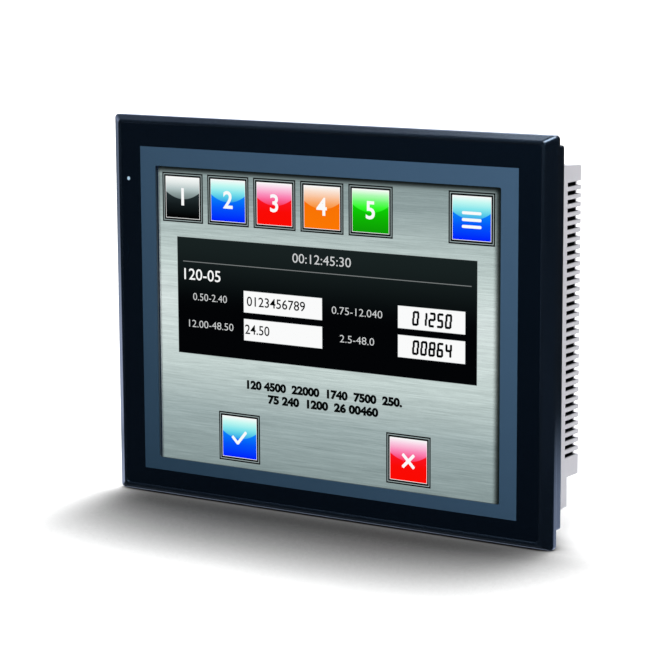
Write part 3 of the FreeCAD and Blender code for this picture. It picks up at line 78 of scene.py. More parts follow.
class Signal:
    # a shader socket that takes part in Python maths
    def __init__(self, nodes, socket):
        self.nodes = nodes
        self.socket = socket

    __add__ = __radd__ = mathsNode("ADD")
    __mul__ = __rmul__ = mathsNode("MULTIPLY")
    __sub__, __rsub__ = mathsNode("SUBTRACT"), mathsNode("SUBTRACT", turned=True)
    __truediv__, __pow__, __abs__ = map(mathsNode, ("DIVIDE", "POWER", "ABSOLUTE"))
    above, below, fraction = map(mathsNode, ("GREATER_THAN", "LESS_THAN", "FRACT"))
    orMore, orLess = map(mathsNode, ("MAXIMUM", "MINIMUM"))

    def cycle(self):
        # how far the signal is from the middle of its unit
        return abs(self.fraction() - 0.5)

    def ramp(self, low, high, start=0.0, end=1.0):
        # runs smoothly from start to end as the signal goes from low to high
        return self.nodes.node("MapRange", {
            "Value": self, "From Min": low, "From Max": high, "To Min": start, "To Max": end},
            interpolation_type="SMOOTHSTEP")


def given(thing, **settings):
    for name, value in settings.items():
        setattr(thing, name, value)
    return thing


class Nodes:
    # a shader tree, with the place that its patterns read
    def __init__(self, tree, place="Object"):
        self.tree = tree
        tree.nodes.clear()
        self.place = self.node("TexCoord", {}, place)
        self.x, self.y, self.z = self.node("SeparateXYZ", {"Vector": self.place}, (0, 1, 2))

    def socket(self, sockets, name):
        if isinstance(name, int):
            return sockets[name]
        return [s for s in sockets if s.name == name and s.enabled][0]

    def node(self, kind, values, result=0, **settings):
        # any node: its sockets' values or links, the output it gives, and its settings
        made = given(self.tree.nodes.new("ShaderNode" + kind), **settings)
        for name, value in values.items():
            target = self.socket(made.inputs, name)
            if isinstance(value, Signal):
                self.tree.links.new(value.socket, target)
            else:
                target.default_value = value
        if not made.outputs:
            return None
        if isinstance(result, tuple):
            return tuple(Signal(self, self.socket(made.outputs, name)) for name in result)
        return Signal(self, self.socket(made.outputs, result))

    def rays(self):
        return self.node("LightPath", {}, ("Is Camera Ray", "Is Glossy Ray", "Is Transmission Ray"))

    def stops(self, share, stops):
        result = self.node("ValToRGB", {"Fac": share}, "Color")
        ramp = result.socket.node.color_ramp
        while len(ramp.elements) < len(stops):
            ramp.elements.new(0.5)
        for element, (position, colour) in zip(ramp.elements, stops):
            given(element, position=position, color=colour)
        return result

    def blend(self, share, first, second):
        return self.node(
            "Mix", {"Factor": share, "A": first, "B": second}, "Result", data_type="RGBA")

    def dimmed(self, share, colour=(1, 1, 1, 1)):
        return self.blend(share, (0, 0, 0, 1), colour)

    def shade(self, colour, share, tint):
        # the colour times the tint, as far as the share goes
        return self.node("Mix", {"Factor": share, "A": colour, "B": tint}, "Result",
                         data_type="RGBA", blend_type="MULTIPLY")


class Finish(Nodes):
    # one material
    def __init__(self, name):
        self.material = bpy.data.materials.new(name)
        self.material.use_nodes = True
        super().__init__(self.material.node_tree)

    def noise(self, size, stretch=(1, 1, 1), detail=2.0, roughness=0.5):
        # cloudy noise whose lumps are about size millimetres across
        spread = self.node("Mapping", {"Vector": self.place, "Scale": stretch})
        return self.node("TexNoise", {"Vector": spread, "Scale": 1 / (size * mm),
                                      "Detail": detail, "Roughness": roughness}, "Fac")

    def rounded(self, radius):
        # soft edges
        return self.node("Bevel", {"Radius": radius * mm}, samples=4)

    def bumps(self, height, strength, depth, normal=None):
        values = {"Height": height, "Strength": strength, "Distance": depth * mm}
        if normal is not None:
            values["Normal"] = normal
        return self.node("Bump", values)

    def principled(self, **values):
        names = {"colour": "Base Color", "roughness": "Roughness", "metal": "Metallic",
                 "normal": "Normal", "coat": "Coat Weight", "specular": "Specular IOR Level",
                 "tint": "Specular Tint", "glow": "Emission Color",
                 "glowStrength": "Emission Strength"}
        return self.node("BsdfPrincipled", {names[k]: v for k, v in values.items()})

    def show(self, shader):
        self.node("OutputMaterial", {"Surface": shader})
        return self.material

    def lit(self, glow, colour=(0, 0, 0, 1), roughness=0.4):
        # a surface that shines by itself and mirrors nothing
        return self.show(self.principled(
            colour=colour, glow=glow, glowStrength=1.0, roughness=roughness, specular=0.0))


def darker(colour, share):
    return tuple(c * share for c in colour[:3]) + (1,)


# what a plastic or a metal has unless its look says otherwise; mottle and uneven are how far
# the cloud and the grain change its colour and its roughness
usualPlastic = dict(grain=0.3, stretch=(1, 1, 1), cloud=30.0, mottle=(0.5, 0.25), dark=0.9,
                    uneven=(0.08, 0.06), bump=0.35, depth=0.02, edge=0.3, metal=0.0,
                    specular=0.5, tint=(1, 1, 1, 1), coat=0.0)
usualMetal = dict(usualPlastic, stretch=(0.05, 1, 1), cloud=12.0, mottle=(0.6, 0.3), dark=0.8,
                  uneven=(0.12, 0.08), bump=0.15, depth=0.01, edge=0.15, metal=1.0)


def solid(name, usual, look, lining=None):
    # moulded plastic with a spark-eroded grain, or rolled metal with streaks along X
    look = {**usual, **look}
    finish = Finish(name)
    grain = finish.noise(look["grain"], look["stretch"], detail=3.0)
    cloud = finish.noise(look["cloud"])
    mottle, uneven = look["mottle"], look["uneven"]
    normal = finish.bumps(grain, look["bump"], look["depth"], finish.rounded(look["edge"]))
    colour = finish.blend(cloud * mottle[0] + grain * mottle[1], look["colour"],
                          darker(look["colour"], look["dark"]))
    roughness = cloud * uneven[0] + grain * uneven[1] + (look["roughness"] - sum(uneven) / 2)
    # painted shade: a darker, rougher colour on the inner faces, where a mask for them is given
    if lining is not None:
        inside = lining(finish)
        colour = finish.blend(inside, colour, look["lining"])
        roughness = roughness + inside * look["liningRougher"]
    shader = finish.principled(
        colour=colour, roughness=roughness, normal=normal, metal=look["metal"],
        specular=look["specular"], tint=look["tint"], coat=look["coat"])
    if "behind" in look:   # duller where the panel hides it
        behind = look["behind"]
        dull = finish.principled(
            colour=colour, roughness=roughness + behind["rougher"], normal=normal,
            specular=behind["specular"])
        shader = finish.node("MixShader", {
            0: finish.y.above(behind["start"] * mm) * finish.x.below(behind["side"] * mm),
            1: shader, 2: dull})
    return finish.show(shader)


def circuitBoard(name, look):
    # green lacquer over copper tracks, with rows of tinned pads
    finish = Finish(name)
    pitch = look["pitch"] * mm
    cells = finish.node("TexVoronoi", {
        "Vector": finish.place, "Scale": 1 / (look["cell"] * pitch), "Randomness": 0.8},
        "Distance", distance="MANHATTAN")
    tracks = (cells * look["lines"]).cycle().below(look["trackShare"])
    spot = finish.noise(look["patch"], detail=1.0).above(look["patchLimit"])
    column, row = ((along / pitch).cycle().below(look["padShare"])
                   for along in (finish.x, finish.z))
    pads = column * row * spot
    colour = finish.blend(tracks, look["lacquer"], look["track"])
    colour = finish.blend(pads, colour, look["pad"])
    return finish.show(finish.principled(
        colour=colour, roughness=pads * 0.1 + 0.3, metal=pads,
        normal=finish.bumps(tracks + pads, 0.3, 0.03)))


def toned(red, green, blue, roughness, **more):
    return dict(more, colour=ink(red, green, blue), roughness=roughness)


rearLook = toned(216, 215, 221, 0.52, grain=0.5, depth=0.03, bump=0.4, edge=0.35,
                 # next: the colour and extra roughness of the painted shade inside, then where it
                 # lies
                 lining=ink(9, 10, 13), liningRougher=0.25, skin=1.4, stepShare=0.125,
                 stepDepth=14.0, inset=10.0, seat=4.5)


def rearInnerShade(finish):
    # painted shade: a dark colour on the inner faces of the rear cover, above its step and below it
    look = rearLook
    low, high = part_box("rear_cover")
    skin, inset = look["skin"] * mm, look["inset"] * mm
    step = low.z + (high.z - low.z) * look["stepShare"]
    sides = abs(finish.x).below(high.x - skin) * finish.z.below(high.z - inset - skin)
    upper = finish.y.below(high.y - skin) * finish.z.above(step + skin)
    lower = (finish.y.below(high.y - look["stepDepth"] * mm - skin)
             * finish.z.above(low.z + inset + skin))
    return sides * upper.orMore(lower) * finish.y.above(low.y + look["seat"] * mm)


plasticLooks = {
    "black case": toned(
        6, 11, 18, 0.21, grain=0.35, depth=0.006, bump=0.15, edge=1.3, specular=1.0,
        tint=(0.42, 0.67, 1, 1), coat=0.75,
        behind=dict(start=0.1, side=150.2, rougher=0.35, specular=0.3)),
    "white moulding": toned(226, 227, 224, 0.5, grain=0.4),
    "rubber holder": toned(222, 220, 210, 0.75, grain=0.6),
    "gasket foam": toned(30, 30, 31, 0.95, grain=0.4, depth=0.12, bump=0.8),
    "component yellow": toned(214, 178, 72, 0.55, grain=0.5),
    "component dark": toned(34, 34, 37, 0.5),
    "connector plastic": toned(32, 32, 35, 0.45, edge=0.2),
    "grey button": toned(150, 152, 158, 0.45),
    "switch blue": toned(32, 74, 150, 0.4, edge=0.2),
    "switch white": toned(236, 236, 234, 0.4, edge=0.1),
    "terminal green": toned(38, 132, 78, 0.42, edge=0.2),
    "lamp glass": toned(236, 240, 242, 0.15, grain=2.0),
    "clear acrylic": toned(228, 236, 238, 0.12, grain=1.0),
    "battery wrap": toned(86, 128, 190, 0.28, grain=3.0),
}
metalLooks = {
    "sheet steel": toned(200, 195, 186, 0.36, grain=0.4),
    "steel screw": toned(216, 210, 198, 0.28, edge=0.12),
    "brass post": toned(206, 170, 92, 0.3),
    "capacitor can": toned(116, 124, 150, 0.34),
    "black aluminium": toned(46, 46, 50, 0.45, grain=0.4),
    "spring steel": toned(220, 214, 202, 0.3, grain=0.25),
    "port shell": toned(220, 212, 196, 0.28, grain=0.35, edge=0.2),
    "gold contact": toned(232, 190, 98, 0.22, grain=0.2, edge=0.05),
}
boardLook = dict(pitch=2.54, cell=6, lines=7, trackShare=0.2, padShare=0.22, patch=14.0,
                 patchLimit=0.56, lacquer=ink(16, 92, 52), track=ink(34, 124, 70),
                 pad=ink(220, 222, 214))

finishes = {name: solid(name, usualPlastic, look) for name, look in plasticLooks.items()}
finishes.update({name: solid(name, usualMetal, look) for name, look in metalLooks.items()})
finishes["circuit board"] = circuitBoard("circuit board", boardLook)
finishes["rear case"] = solid("rear case", usualPlastic, rearLook, rearInnerShade)


# the front sheet: black film with a slate border printed round the window

frontSheetLook = dict(
    borderSide=135.0, borderTop=101.4, borderBottom=-104.6, black=ink(5, 10, 17),
    # the two slate colours are the slate under painted shade at the lower left and painted light at
    # the upper right
    slateDim=ink(37, 58, 75), slateBright=ink(62, 87, 111), paintedLightClimb=(520.0, 460.0),
    sparkle=0.12, sparkleShare=0.35, sparkleDark=(0.8, 0.8, 0.8, 1), bump=0.12, depth=0.003,
    edge=0.2, cloud=60.0, roughness=0.24, specular=0.2, tint=(0.2, 0.5, 1, 1),
)


def frontSheetFinish():
    look = frontSheetLook
    finish = Finish("front film")
    inside = (abs(finish.x).below(look["borderSide"] * mm) * finish.z.below(look["borderTop"] * mm)
              * finish.z.above(look["borderBottom"] * mm))
    sparkle = finish.noise(look["sparkle"], detail=1.0)
    cloud = finish.noise(look["cloud"], detail=1.0)
    # painted light: the slate is lighter towards the upper right, over a width and a height
    width, height = look["paintedLightClimb"]
    paintedLightClimb = finish.x / (width * mm) + finish.z / (height * mm) + 0.5
    slate = finish.blend(paintedLightClimb, look["slateDim"], look["slateBright"])
    slate = finish.shade(slate, sparkle * look["sparkleShare"], look["sparkleDark"])
    colour = finish.blend(inside, look["black"], slate)
    normal = finish.bumps(sparkle, look["bump"], look["depth"], finish.rounded(look["edge"]))
    return finish.show(finish.principled(
        colour=colour, roughness=inside * 0.1 + cloud * 0.05 + look["roughness"],
        normal=normal, specular=look["specular"], tint=look["tint"]))


finishes["front film"] = frontSheetFinish()


# the display: a lit picture on the glass, behind the clear touch panel

glassLow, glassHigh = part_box("lcd_glass")
screenX = (glassLow.x + glassHigh.x) / 2
screenZ = (glassLow.z + glassHigh.z) / 2
screenY = glassLow.y

screenLook = dict(
    # heights on the screen and the silver there
    ground=((-92.0, ink(143, 159, 159)), (-60.0, ink(162, 178, 178)), (-28.0, ink(203, 217, 214)),
            (11.0, ink(218, 229, 227)), (34.0, ink(203, 217, 214)), (55.0, ink(182, 197, 195)),
            (76.0, ink(150, 166, 166)), (92.0, ink(140, 156, 156))),
    fine=0.42, fineLength=20.0, fineShare=0.72, coarse=2.2, coarseLength=90.0,
    coarseShare=0.28, streakStart=0.36, streakSpan=0.28,
    streakLow=(0.72, 0.735, 0.735, 1), streakHigh=(1.2, 1.19, 1.19, 1),
    # the painted shadow of the window's top and right edges: where it ends, its reach, its curve
    # and its colour; then where a painted reflection along the left edge ends, and its colour
    shadeTop=92.8, shadeRight=121.5, shade=(0.2, 5.0), shadeCurve=1.5,
    shadeColour=(0.02, 0.025, 0.025, 1), paintedReflectionLeft=-123.4, paintedReflection=ink(15, 27, 46),
)


def screenPlace(finish):
    # millimetres from the screen's centre, to the right and upwards
    return (finish.x - screenX) / mm, (finish.z - screenZ) / mm


def screenFinish():
    # brushed silver, brightest across its middle, with a painted shadow of the window's edge along
    # its top and right
    look = screenLook
    finish = Finish("display picture")
    across, height = screenPlace(finish)
    low, high = look["ground"][0][0], look["ground"][-1][0]
    ground = finish.stops((height - low) / (high - low),
                          [((z - low) / (high - low), colour) for z, colour in look["ground"]])
    fine = finish.noise(look["fine"], (look["fine"] / look["fineLength"], 1, 1), detail=3.0,
                        roughness=0.75)
    coarse = finish.noise(look["coarse"], (look["coarse"] / look["coarseLength"], 1, 1))
    streak = fine * look["fineShare"] + coarse * look["coarseShare"] - look["streakStart"]
    streak = finish.blend(streak / look["streakSpan"], look["streakLow"], look["streakHigh"])
    ground = finish.shade(ground, 1.0, streak)
    # painted shadow: darker towards the window's top and right edges
    top = (look["shadeTop"] - height).ramp(*look["shade"])
    side = (look["shadeRight"] - across).ramp(*look["shade"])
    ground = finish.shade(ground, 1 - (top * side) ** look["shadeCurve"], look["shadeColour"])
    # painted reflection: a dark blue strip along the picture's left edge, where the slate window
    # edge mirrors in the glass
    ground = finish.blend(across.below(look["paintedReflectionLeft"]), ground, look["paintedReflection"])
    return finish.lit(ground, colour=ink(8, 9, 9), roughness=0.3)


finishes["display glass"] = screenFinish()


clearPanelLook = dict(smear=18.0, smearRough=0.06, roughness=0.03, index=1.4, mirror=0.4,
                      clear=(0.985, 0.99, 0.99, 1))


def clearPanelFinish():
    # clear, with a face that mirrors the room
    look = clearPanelLook
    finish = Finish("touch glass")
    roughness = finish.noise(look["smear"]) * look["smearRough"] + look["roughness"]
    clear = finish.node("BsdfTransparent", {"Color": look["clear"]})
    gloss = finish.principled(colour=(0, 0, 0, 1), roughness=roughness)
    share = finish.node("Fresnel", {"IOR": look["index"]}) * look["mirror"]
    return finish.show(finish.node("MixShader", {0: share, 1: clear, 2: gloss}))


finishes["touch glass"] = clearPanelFinish()

lampLensLook = dict(dot=(0.8625, 1.38), haze=0.5, lit=ink(170, 198, 214), rim=ink(12, 20, 28))


def lampLensFinish():
    # a milky dot in the middle of a dark lens
    look = lampLensLook
    finish = Finish("lamp lens")
    low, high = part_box("run_lamp_lens")
    across = finish.x - (low.x + high.x) / 2
    up = finish.z - (low.z + high.z) / 2
    away = (across * across + up * up) ** 0.5 / mm
    dot = away.ramp(*look["dot"], 1.0, 0.0)
    haze = finish.noise(look["haze"])
    colour = finish.shade(finish.blend(dot, look["rim"], look["lit"]), haze, (0.8, 0.85, 0.9, 1))
    return finish.show(finish.principled(
        colour=colour, roughness=0.25 - dot * 0.1, specular=0.25))


finishes["lamp lens"] = lampLensFinish()


ribbonLook = dict(wireShare=0.27, film=ink(150, 96, 40), wire=ink(206, 140, 66))


def ribbonFinish():
    # flat copper wires under amber film, a millimetre apart
    look = ribbonLook
    finish = Finish("ribbon film")
    wires = (finish.x / mm).cycle().below(look["wireShare"])
    colour = finish.blend(wires, look["film"], look["wire"])
    return finish.show(finish.principled(
        colour=colour, roughness=wires * 0.08 + 0.25, normal=finish.bumps(wires, 0.3, 0.05)))


finishes["ribbon film"] = ribbonFinish()


def dressed(piece, *materials):
    piece.data.materials.clear()
    for material in materials:
        piece.data.materials.append(material)
    return piece


wearing = {
    "black case": "front_bezel",
    "front film": "front_sheet",
    "lamp lens": "run_lamp_lens",
    "circuit board": "run_lamp_board power_board inverter_board main_board",
    "gasket foam": "panel_gasket touch_panel_seal",
    "touch glass": "touch_panel",
    "white moulding": "lcd_frame diffuser_sheet",
    "display glass": "lcd_glass",
    "clear acrylic": "light_guide",
    "lamp glass": "backlight_lamps",
    "rubber holder": "lamp_holders",
    "sheet steel": "lcd_back_tray chassis_plate",
    "steel screw": "chassis_screws board_screws rear_cover_screws expansion_cover_screws "
                   "eject_lever_pin terminal_screws port_jackscrews",
    "brass post": "short_standoffs long_standoffs",
    "component yellow": "power_transformer",
    "capacitor can": "power_capacitors board_capacitors",
    "component dark": "power_choke inverter_transformers cpu_chip memory_chips",
    "black aluminium": "cpu_heat_sink",
    "connector plastic": "expansion_connector card_slot_guide reset_switch_body ethernet_jack",
    "ribbon film": "display_ribbon",
    "rear case": "rear_cover expansion_cover battery_cover",
    "battery wrap": "battery",
    "spring steel": "battery_contacts card_eject_lever",
    "grey button": "card_eject_button reset_button",
    "switch blue": "terminator_switch_body",
    "switch white": "terminator_slider_1 terminator_slider_2",
    "port shell": "serial_port_a serial_port_b usb_host_port usb_device_port",
    "terminal green": "power_terminal_block",
}
for finishName, parts in wearing.items():
    for part in parts.split():
        dressed(cadNodes[part], finishes[finishName])
print("finishes on", sum(len(parts.split()) for parts in wearing.values()), "parts")


# modelling helpers

def deselectAll():
    if bpy.context.mode != "OBJECT":
        bpy.ops.object.mode_set(mode="OBJECT")
    bpy.ops.object.select_all(action="DESELECT")


def pick(*pieces):
    deselectAll()
    for piece in pieces:
        piece.select_set(True)
    bpy.context.view_layer.objects.active = pieces[0]


def settle(piece, name):
    # puts the place into the mesh, so the object sits at the origin
    pick(piece)
    bpy.ops.object.transform_apply(location=True, rotation=True, scale=True)
    piece.name = name
    return piece


def joined(pieces, name):
    pick(*pieces)
    bpy.ops.object.join()
    return settle(bpy.context.object, name)


def copyOf(model, move):
    # a copy with its own mesh, moved by a matrix or a step in metres
    if not isinstance(move, Matrix):
        move = Matrix.Translation(move)
    piece = model.copy()
    piece.data = model.data.copy()
    bpy.context.collection.objects.link(piece)
    piece.data.transform(move)
    return piece


def modified(piece, kind, **settings):
    pick(piece)
    modifier = given(piece.modifiers.new(kind.lower(), kind), **settings)
    bpy.ops.object.modifier_apply(modifier=modifier.name)
    return piece


def carved(piece, tool):
    # takes the tool's shape out of the piece
    modified(piece, "BOOLEAN", object=tool, operation="DIFFERENCE", solver="EXACT")
    bpy.data.objects.remove(tool)
    return piece


def chosen(piece, kind, test):
    # edit mode with the faces, edges or vertices that pass the test
    pick(piece)
    bpy.ops.object.mode_set(mode="EDIT")
    bpy.ops.mesh.select_mode(type=kind)
    bpy.ops.mesh.select_all(action="DESELECT")
    bpy.ops.object.mode_set(mode="OBJECT")
    mesh = piece.data
    if kind == "FACE":
        for face in mesh.polygons:
            face.select = test(face.center, face.normal)
    elif kind == "EDGE":
        for edge in mesh.edges:
            a, b = (mesh.vertices[v].co for v in edge.vertices)
            edge.select = test((a + b) / 2, b - a)
    else:
        for vertex in mesh.vertices:
            vertex.select = test(vertex.co)
    bpy.ops.object.mode_set(mode="EDIT")
    return piece


def allOf(piece):
    pick(piece)
    bpy.ops.object.mode_set(mode="EDIT")
    bpy.ops.mesh.select_all(action="SELECT")


def backOut():
    bpy.ops.object.mode_set(mode="OBJECT")


def bevelled(piece, radius, segments, test=None, **more):
    # rounds the edges that pass the test, or else the corners of a flat piece
    if test:
        chosen(piece, "EDGE", test)
    else:
        allOf(piece)
        more["affect"] = "VERTICES"
    bpy.ops.mesh.bevel(offset=radius * mm, segments=segments, **more)
    backOut()
    return piece


def outward(piece):
    allOf(piece)
    bpy.ops.mesh.normals_make_consistent(inside=False)
    backOut()
    return piece


def smoothed(piece):
    pick(piece)
    bpy.ops.object.shade_smooth_by_angle(angle=math.radians(35))
    return piece


def block(place, size):
    bpy.ops.mesh.primitive_cube_add(size=1, location=place)
    piece = bpy.context.object
    piece.scale = size
    return settle(piece, "block")


def planeAt(place, width, height, rotation=(0, 0, 0)):
    bpy.ops.mesh.primitive_plane_add(size=1, rotation=rotation, location=place)
    plane = bpy.context.object
    plane.scale = (width, height, 1)
    return settle(plane, "plane")


def cylinder(diameter, depth, place, sides):
    bpy.ops.mesh.primitive_cylinder_add(
        vertices=sides, radius=diameter / 2 * mm, depth=depth, location=place)
    return settle(bpy.context.object, "cylinder")


def extruded(x, y, z):
    # draws out what is selected in edit mode
    bpy.ops.mesh.extrude_region_move(TRANSFORM_OT_translate={"value": (x, y, z)})


def spread(count, pitch):
    # places in a row, about its middle
    return [(i - (count - 1) / 2) * pitch * mm for i in range(count)]


def middle(low, high):
    return (low.x + high.x) / 2, (low.y + high.y) / 2


def onTerminal(piece):
    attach(piece, "terminal")
    return piece


def instead(piece, slot, *nodes):
    onTerminal(piece)
    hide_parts(*nodes)
    return piece


# what the screen shows, in millimetres from its centre

def glowing(name, colour, second=None, low=0.0, high=1.0):
    # a lit colour, or two that run from a low to a high place on the screen
    finish = Finish(name)
    speck = finish.noise(0.3, detail=1.0)
    if second is not None:
        colour = finish.blend(screenPlace(finish)[1].ramp(low, high), colour, second)
    colour = finish.shade(colour, speck * 0.25, (0.92, 0.92, 0.92, 1))
    return finish.lit(colour)


def onScreen(x, z, layer):
    return (screenX + x * mm, screenY - layer * printLook["step"] * mm, screenZ + z * mm)


def screenPlane(left, top, width, height, layer):
    # faces the viewer, layer steps in front of the glass
    return planeAt(onScreen(left + width / 2, top - height / 2, layer), width * mm, height * mm,
                   (math.pi / 2, 0, 0))


def rimmed(plane, widths, slots):
    # insets a plane again and again, each face in its own colour
    allOf(plane)
    for width, slot in zip(widths, slots):
        bpy.ops.mesh.inset(thickness=width * mm)
        plane.active_material_index = slot
        bpy.ops.object.material_slot_assign()
    backOut()
    return plane


def printed(piece, name, *materials):
    # thickens a flat piece, colours it and puts it on the screen
    modified(piece, "SOLIDIFY", thickness=printLook["step"] * mm, offset=-1)
    piece.name = name
    if materials:
        dressed(piece, *materials)
    return onTerminal(piece)


printLook = dict(step=0.02, colours={
    "black": ink(6, 9, 9), "frame grey": ink(150, 164, 164), "white": ink(254, 254, 254),
    "pale text": ink(206, 208, 208)})
black, frameGrey, white, paleText = (
    glowing("screen " + name, colour) for name, colour in printLook["colours"].items())

keyLook = dict(
    size=31.0, top=89.2, left=-120.1, pitch=34.55, rings=(0.86, 0.5, 1.1, 0.28),
    arcMiddle=0.535, arcSide=0.365, lowerTop=-58.9, lowerLeft=(-78.7, 44.4),
    arcBlur=0.006, stops=(0.0, 0.13, 0.285, 0.4, 0.535, 0.4, 0.67, 0.97), numberSize=15.0,
    numberBold=0.3,
)
# bars of the signs: across and up from the key's middle, length, height and angle
signLook = dict(
    menu=[(0, step * 4.0, 13.0, 1.8) for step in (-1, 0, 1)], menuLeft=9.0, menuDown=0.53,
    signDown=0.52, tick=[(-3.3, -1.3, 6.4, 1.9, 45), (1.7, 0.5, 10.6, 1.9, -50)],
    cross=[(0, 0, 11.5, 2.0, 45), (0, 0, 11.5, 2.0, -45)],
)
# five pale colours from the head of a key down to its arc, then three full ones below it
keyColours = {
    "grey": ((251, 252, 251), (229, 236, 234), (184, 200, 200), (146, 162, 161),
             (112, 126, 126), (38, 49, 51), (20, 27, 29), (1, 1, 1)),
    "blue": ((248, 253, 252), (197, 251, 244), (137, 233, 239), (92, 208, 234),
             (40, 155, 238), (8, 130, 251), (3, 84, 252), (0, 38, 254)),
    "red": ((253, 250, 252), (253, 202, 226), (253, 143, 189), (253, 100, 152),
            (252, 50, 84), (253, 19, 32), (253, 11, 6), (253, 10, 2)),
    "orange": ((253, 251, 248), (253, 224, 204), (253, 191, 147), (252, 168, 101),
               (252, 142, 40), (252, 115, 3), (252, 118, 4), (254, 120, 3)),
    "green": ((249, 254, 248), (178, 253, 182), (104, 253, 105), (59, 254, 51),
              (18, 238, 1), (13, 210, 5), (14, 182, 3), (13, 158, 5)),
}


def keyFace(name, colours, left, top):
    # a glassy key: pale above a hanging arc, full colour below it
    look = keyLook
    finish = Finish(name)
    rim = sum(look["rings"])
    face = look["size"] - 2 * rim
    across, height = screenPlace(finish)
    across = (across - (left + look["size"] / 2)) / (face / 2)
    down = (top - rim - height) / face
    arc = look["arcMiddle"] - across * across * (look["arcMiddle"] - look["arcSide"])
    stops = [(stop, ink(*colour)) for stop, colour in zip(look["stops"], colours)]
    pale = finish.stops(down, stops[:5])
    full = finish.stops(down, stops[5:])
    below = (down - arc).ramp(-look["arcBlur"], look["arcBlur"])
    return finish.lit(finish.blend(below, pale, full))


def screenKey(name, colour, left, top):
    look = keyLook
    key = screenPlane(left, top, look["size"], look["size"], 1)
    dressed(key, black, frameGrey, white, keyFace(name + "Face", keyColours[colour], left, top))
    return printed(rimmed(key, look["rings"], (1, 0, 2, 3)), name)


def numeral(text, size, x, z, layer, bold=0.0, across=1.0):
    # plain figures, centred at a place on the screen
    bpy.ops.object.text_add(rotation=(math.pi / 2, 0, 0), location=onScreen(x, z, layer))
    figure = bpy.context.object
    given(figure.data, body=text, size=size * mm, align_x="CENTER", align_y="CENTER",
          offset=bold * mm, resolution_u=4)
    figure.scale.x = across
    pick(figure)
    bpy.ops.object.convert(target="MESH")
    return settle(bpy.context.object, "figure")


def bar(left, middle, width, height, layer, rounding=0.42):
    # a flat bar, with round ends unless the rounding is nothing
    strip = screenPlane(left, middle + height / 2, width, height, layer)
    return bevelled(strip, height * rounding, 4) if rounding else strip


def turnedBar(x, z, length, height, angle):
    # a bar turned about its own middle
    strip = bar(x - length / 2, z, length, height, 3, rounding=0.3)
    pivot = Vector((screenX + x * mm, screenY, screenZ + z * mm))
    turn = Matrix.Rotation(math.radians(angle), 4, "Y")
    strip.data.transform(Matrix.Translation(pivot) @ turn @ Matrix.Translation(-pivot))
    return strip


def buildKeys():
    look = keyLook
    for i, colour in enumerate(("grey", "blue", "red", "orange", "green")):
        left = look["left"] + i * look["pitch"]
        screenKey(f"screenKey{i + 1}", colour, left, look["top"])
        figure = numeral(str(i + 1), look["numberSize"], left + look["size"] / 2,
                         look["top"] - look["size"] / 2, 3, look["numberBold"])
        printed(figure, f"screenKeyNumber{i + 1}", white)
    left = look["left"] + 6 * look["pitch"]
    screenKey("screenMenuKey", "blue", left, look["top"])
    middleZ = look["top"] - look["size"] * signLook["menuDown"]
    lines = [bar(left + signLook["menuLeft"] + x, middleZ + z, width, height, 3)
             for x, z, width, height in signLook["menu"]]
    printed(joined(lines, "lines"), "screenMenuLines", white)
    for name, colour, left in zip(("Accept", "Refuse"), ("blue", "red"), look["lowerLeft"]):
        screenKey(f"screen{name}Key", colour, left, look["lowerTop"])
    middleZ = look["lowerTop"] - look["size"] * signLook["signDown"]
    for name, left in zip(("Tick", "Cross"), look["lowerLeft"]):
        bars = [turnedBar(left + look["size"] / 2 + x, middleZ + z, length, height, angle)
                for x, z, length, height, angle in signLook[name.lower()]]
        printed(joined(bars, "sign"), "screen" + name, white)
    print("screen keys: 8")


# places are left, top, width and height, and for the rule left, middle, width and height
panelLook = dict(place=(-109.4, 49.3, 216.2, 73.8), fade=(4.0, 50.0), edge=0.2,
                 rule=(-105.0, 33.95, 207.8, 0.5))
fieldLook = dict(columns=((-59.0, 57.9), (52.6, 46.2)), tops=(18.7, 1.2), height=13.6)


def buildPanel():
    look = panelLook
    dark = glowing("screen panel", ink(3, 4, 6), ink(25, 34, 34), *look["fade"])
    edge = glowing("screen panel edge", ink(150, 162, 160))
    panel = screenPlane(*look["place"], 1)
    printed(rimmed(dressed(panel, edge, dark), (look["edge"],), (1,)), "screenPanel")
    printed(bar(*look["rule"], 2, rounding=0), "screenRule",
            glowing("screen rule", ink(122, 126, 126)))
    fieldEdge = glowing("screen field edge", ink(206, 210, 210))
    for column, (left, width) in enumerate(fieldLook["columns"]):
        for row, top in enumerate(fieldLook["tops"]):
            field = screenPlane(left, top, width, fieldLook["height"], 2)
            printed(rimmed(dressed(field, fieldEdge, white), (look["edge"],), (1,)),
                    f"screenField{column}{row}")
    print("screen panel and fields")


# seven segments: across at the top, middle and bottom, and four upright
digitLook = dict(width=3.1, height=7.5, stroke=1.45, pitch=5.6, lean=7.0, gap=0.08)
digitSegments = {"0": "abcdef", "1": "bc", "2": "abged", "3": "abgcd", "4": "fgbc",
                 "5": "afgcd", "6": "afgedc", "7": "abc", "8": "abcdefg", "9": "abcdfg"}


def digitStroke(length):
    # a hexagon drawn out to the length of one stroke, along X at the origin
    look = digitLook
    radius = look["stroke"] / 2 * mm
    bpy.ops.mesh.primitive_circle_add(
        vertices=6, radius=radius / math.cos(math.pi / 6), fill_type="NGON",
        rotation=(0, 0, math.pi / 2))
    stroke = settle(bpy.context.object, "stroke")
    longer = (length - look["stroke"] - 2 * look["gap"]) * mm
    for side in (1, -1):
        chosen(stroke, "VERT", lambda v: v.x * side > 0)
        bpy.ops.transform.translate(value=(side * longer / 2, 0, 0))
    backOut()
    return stroke


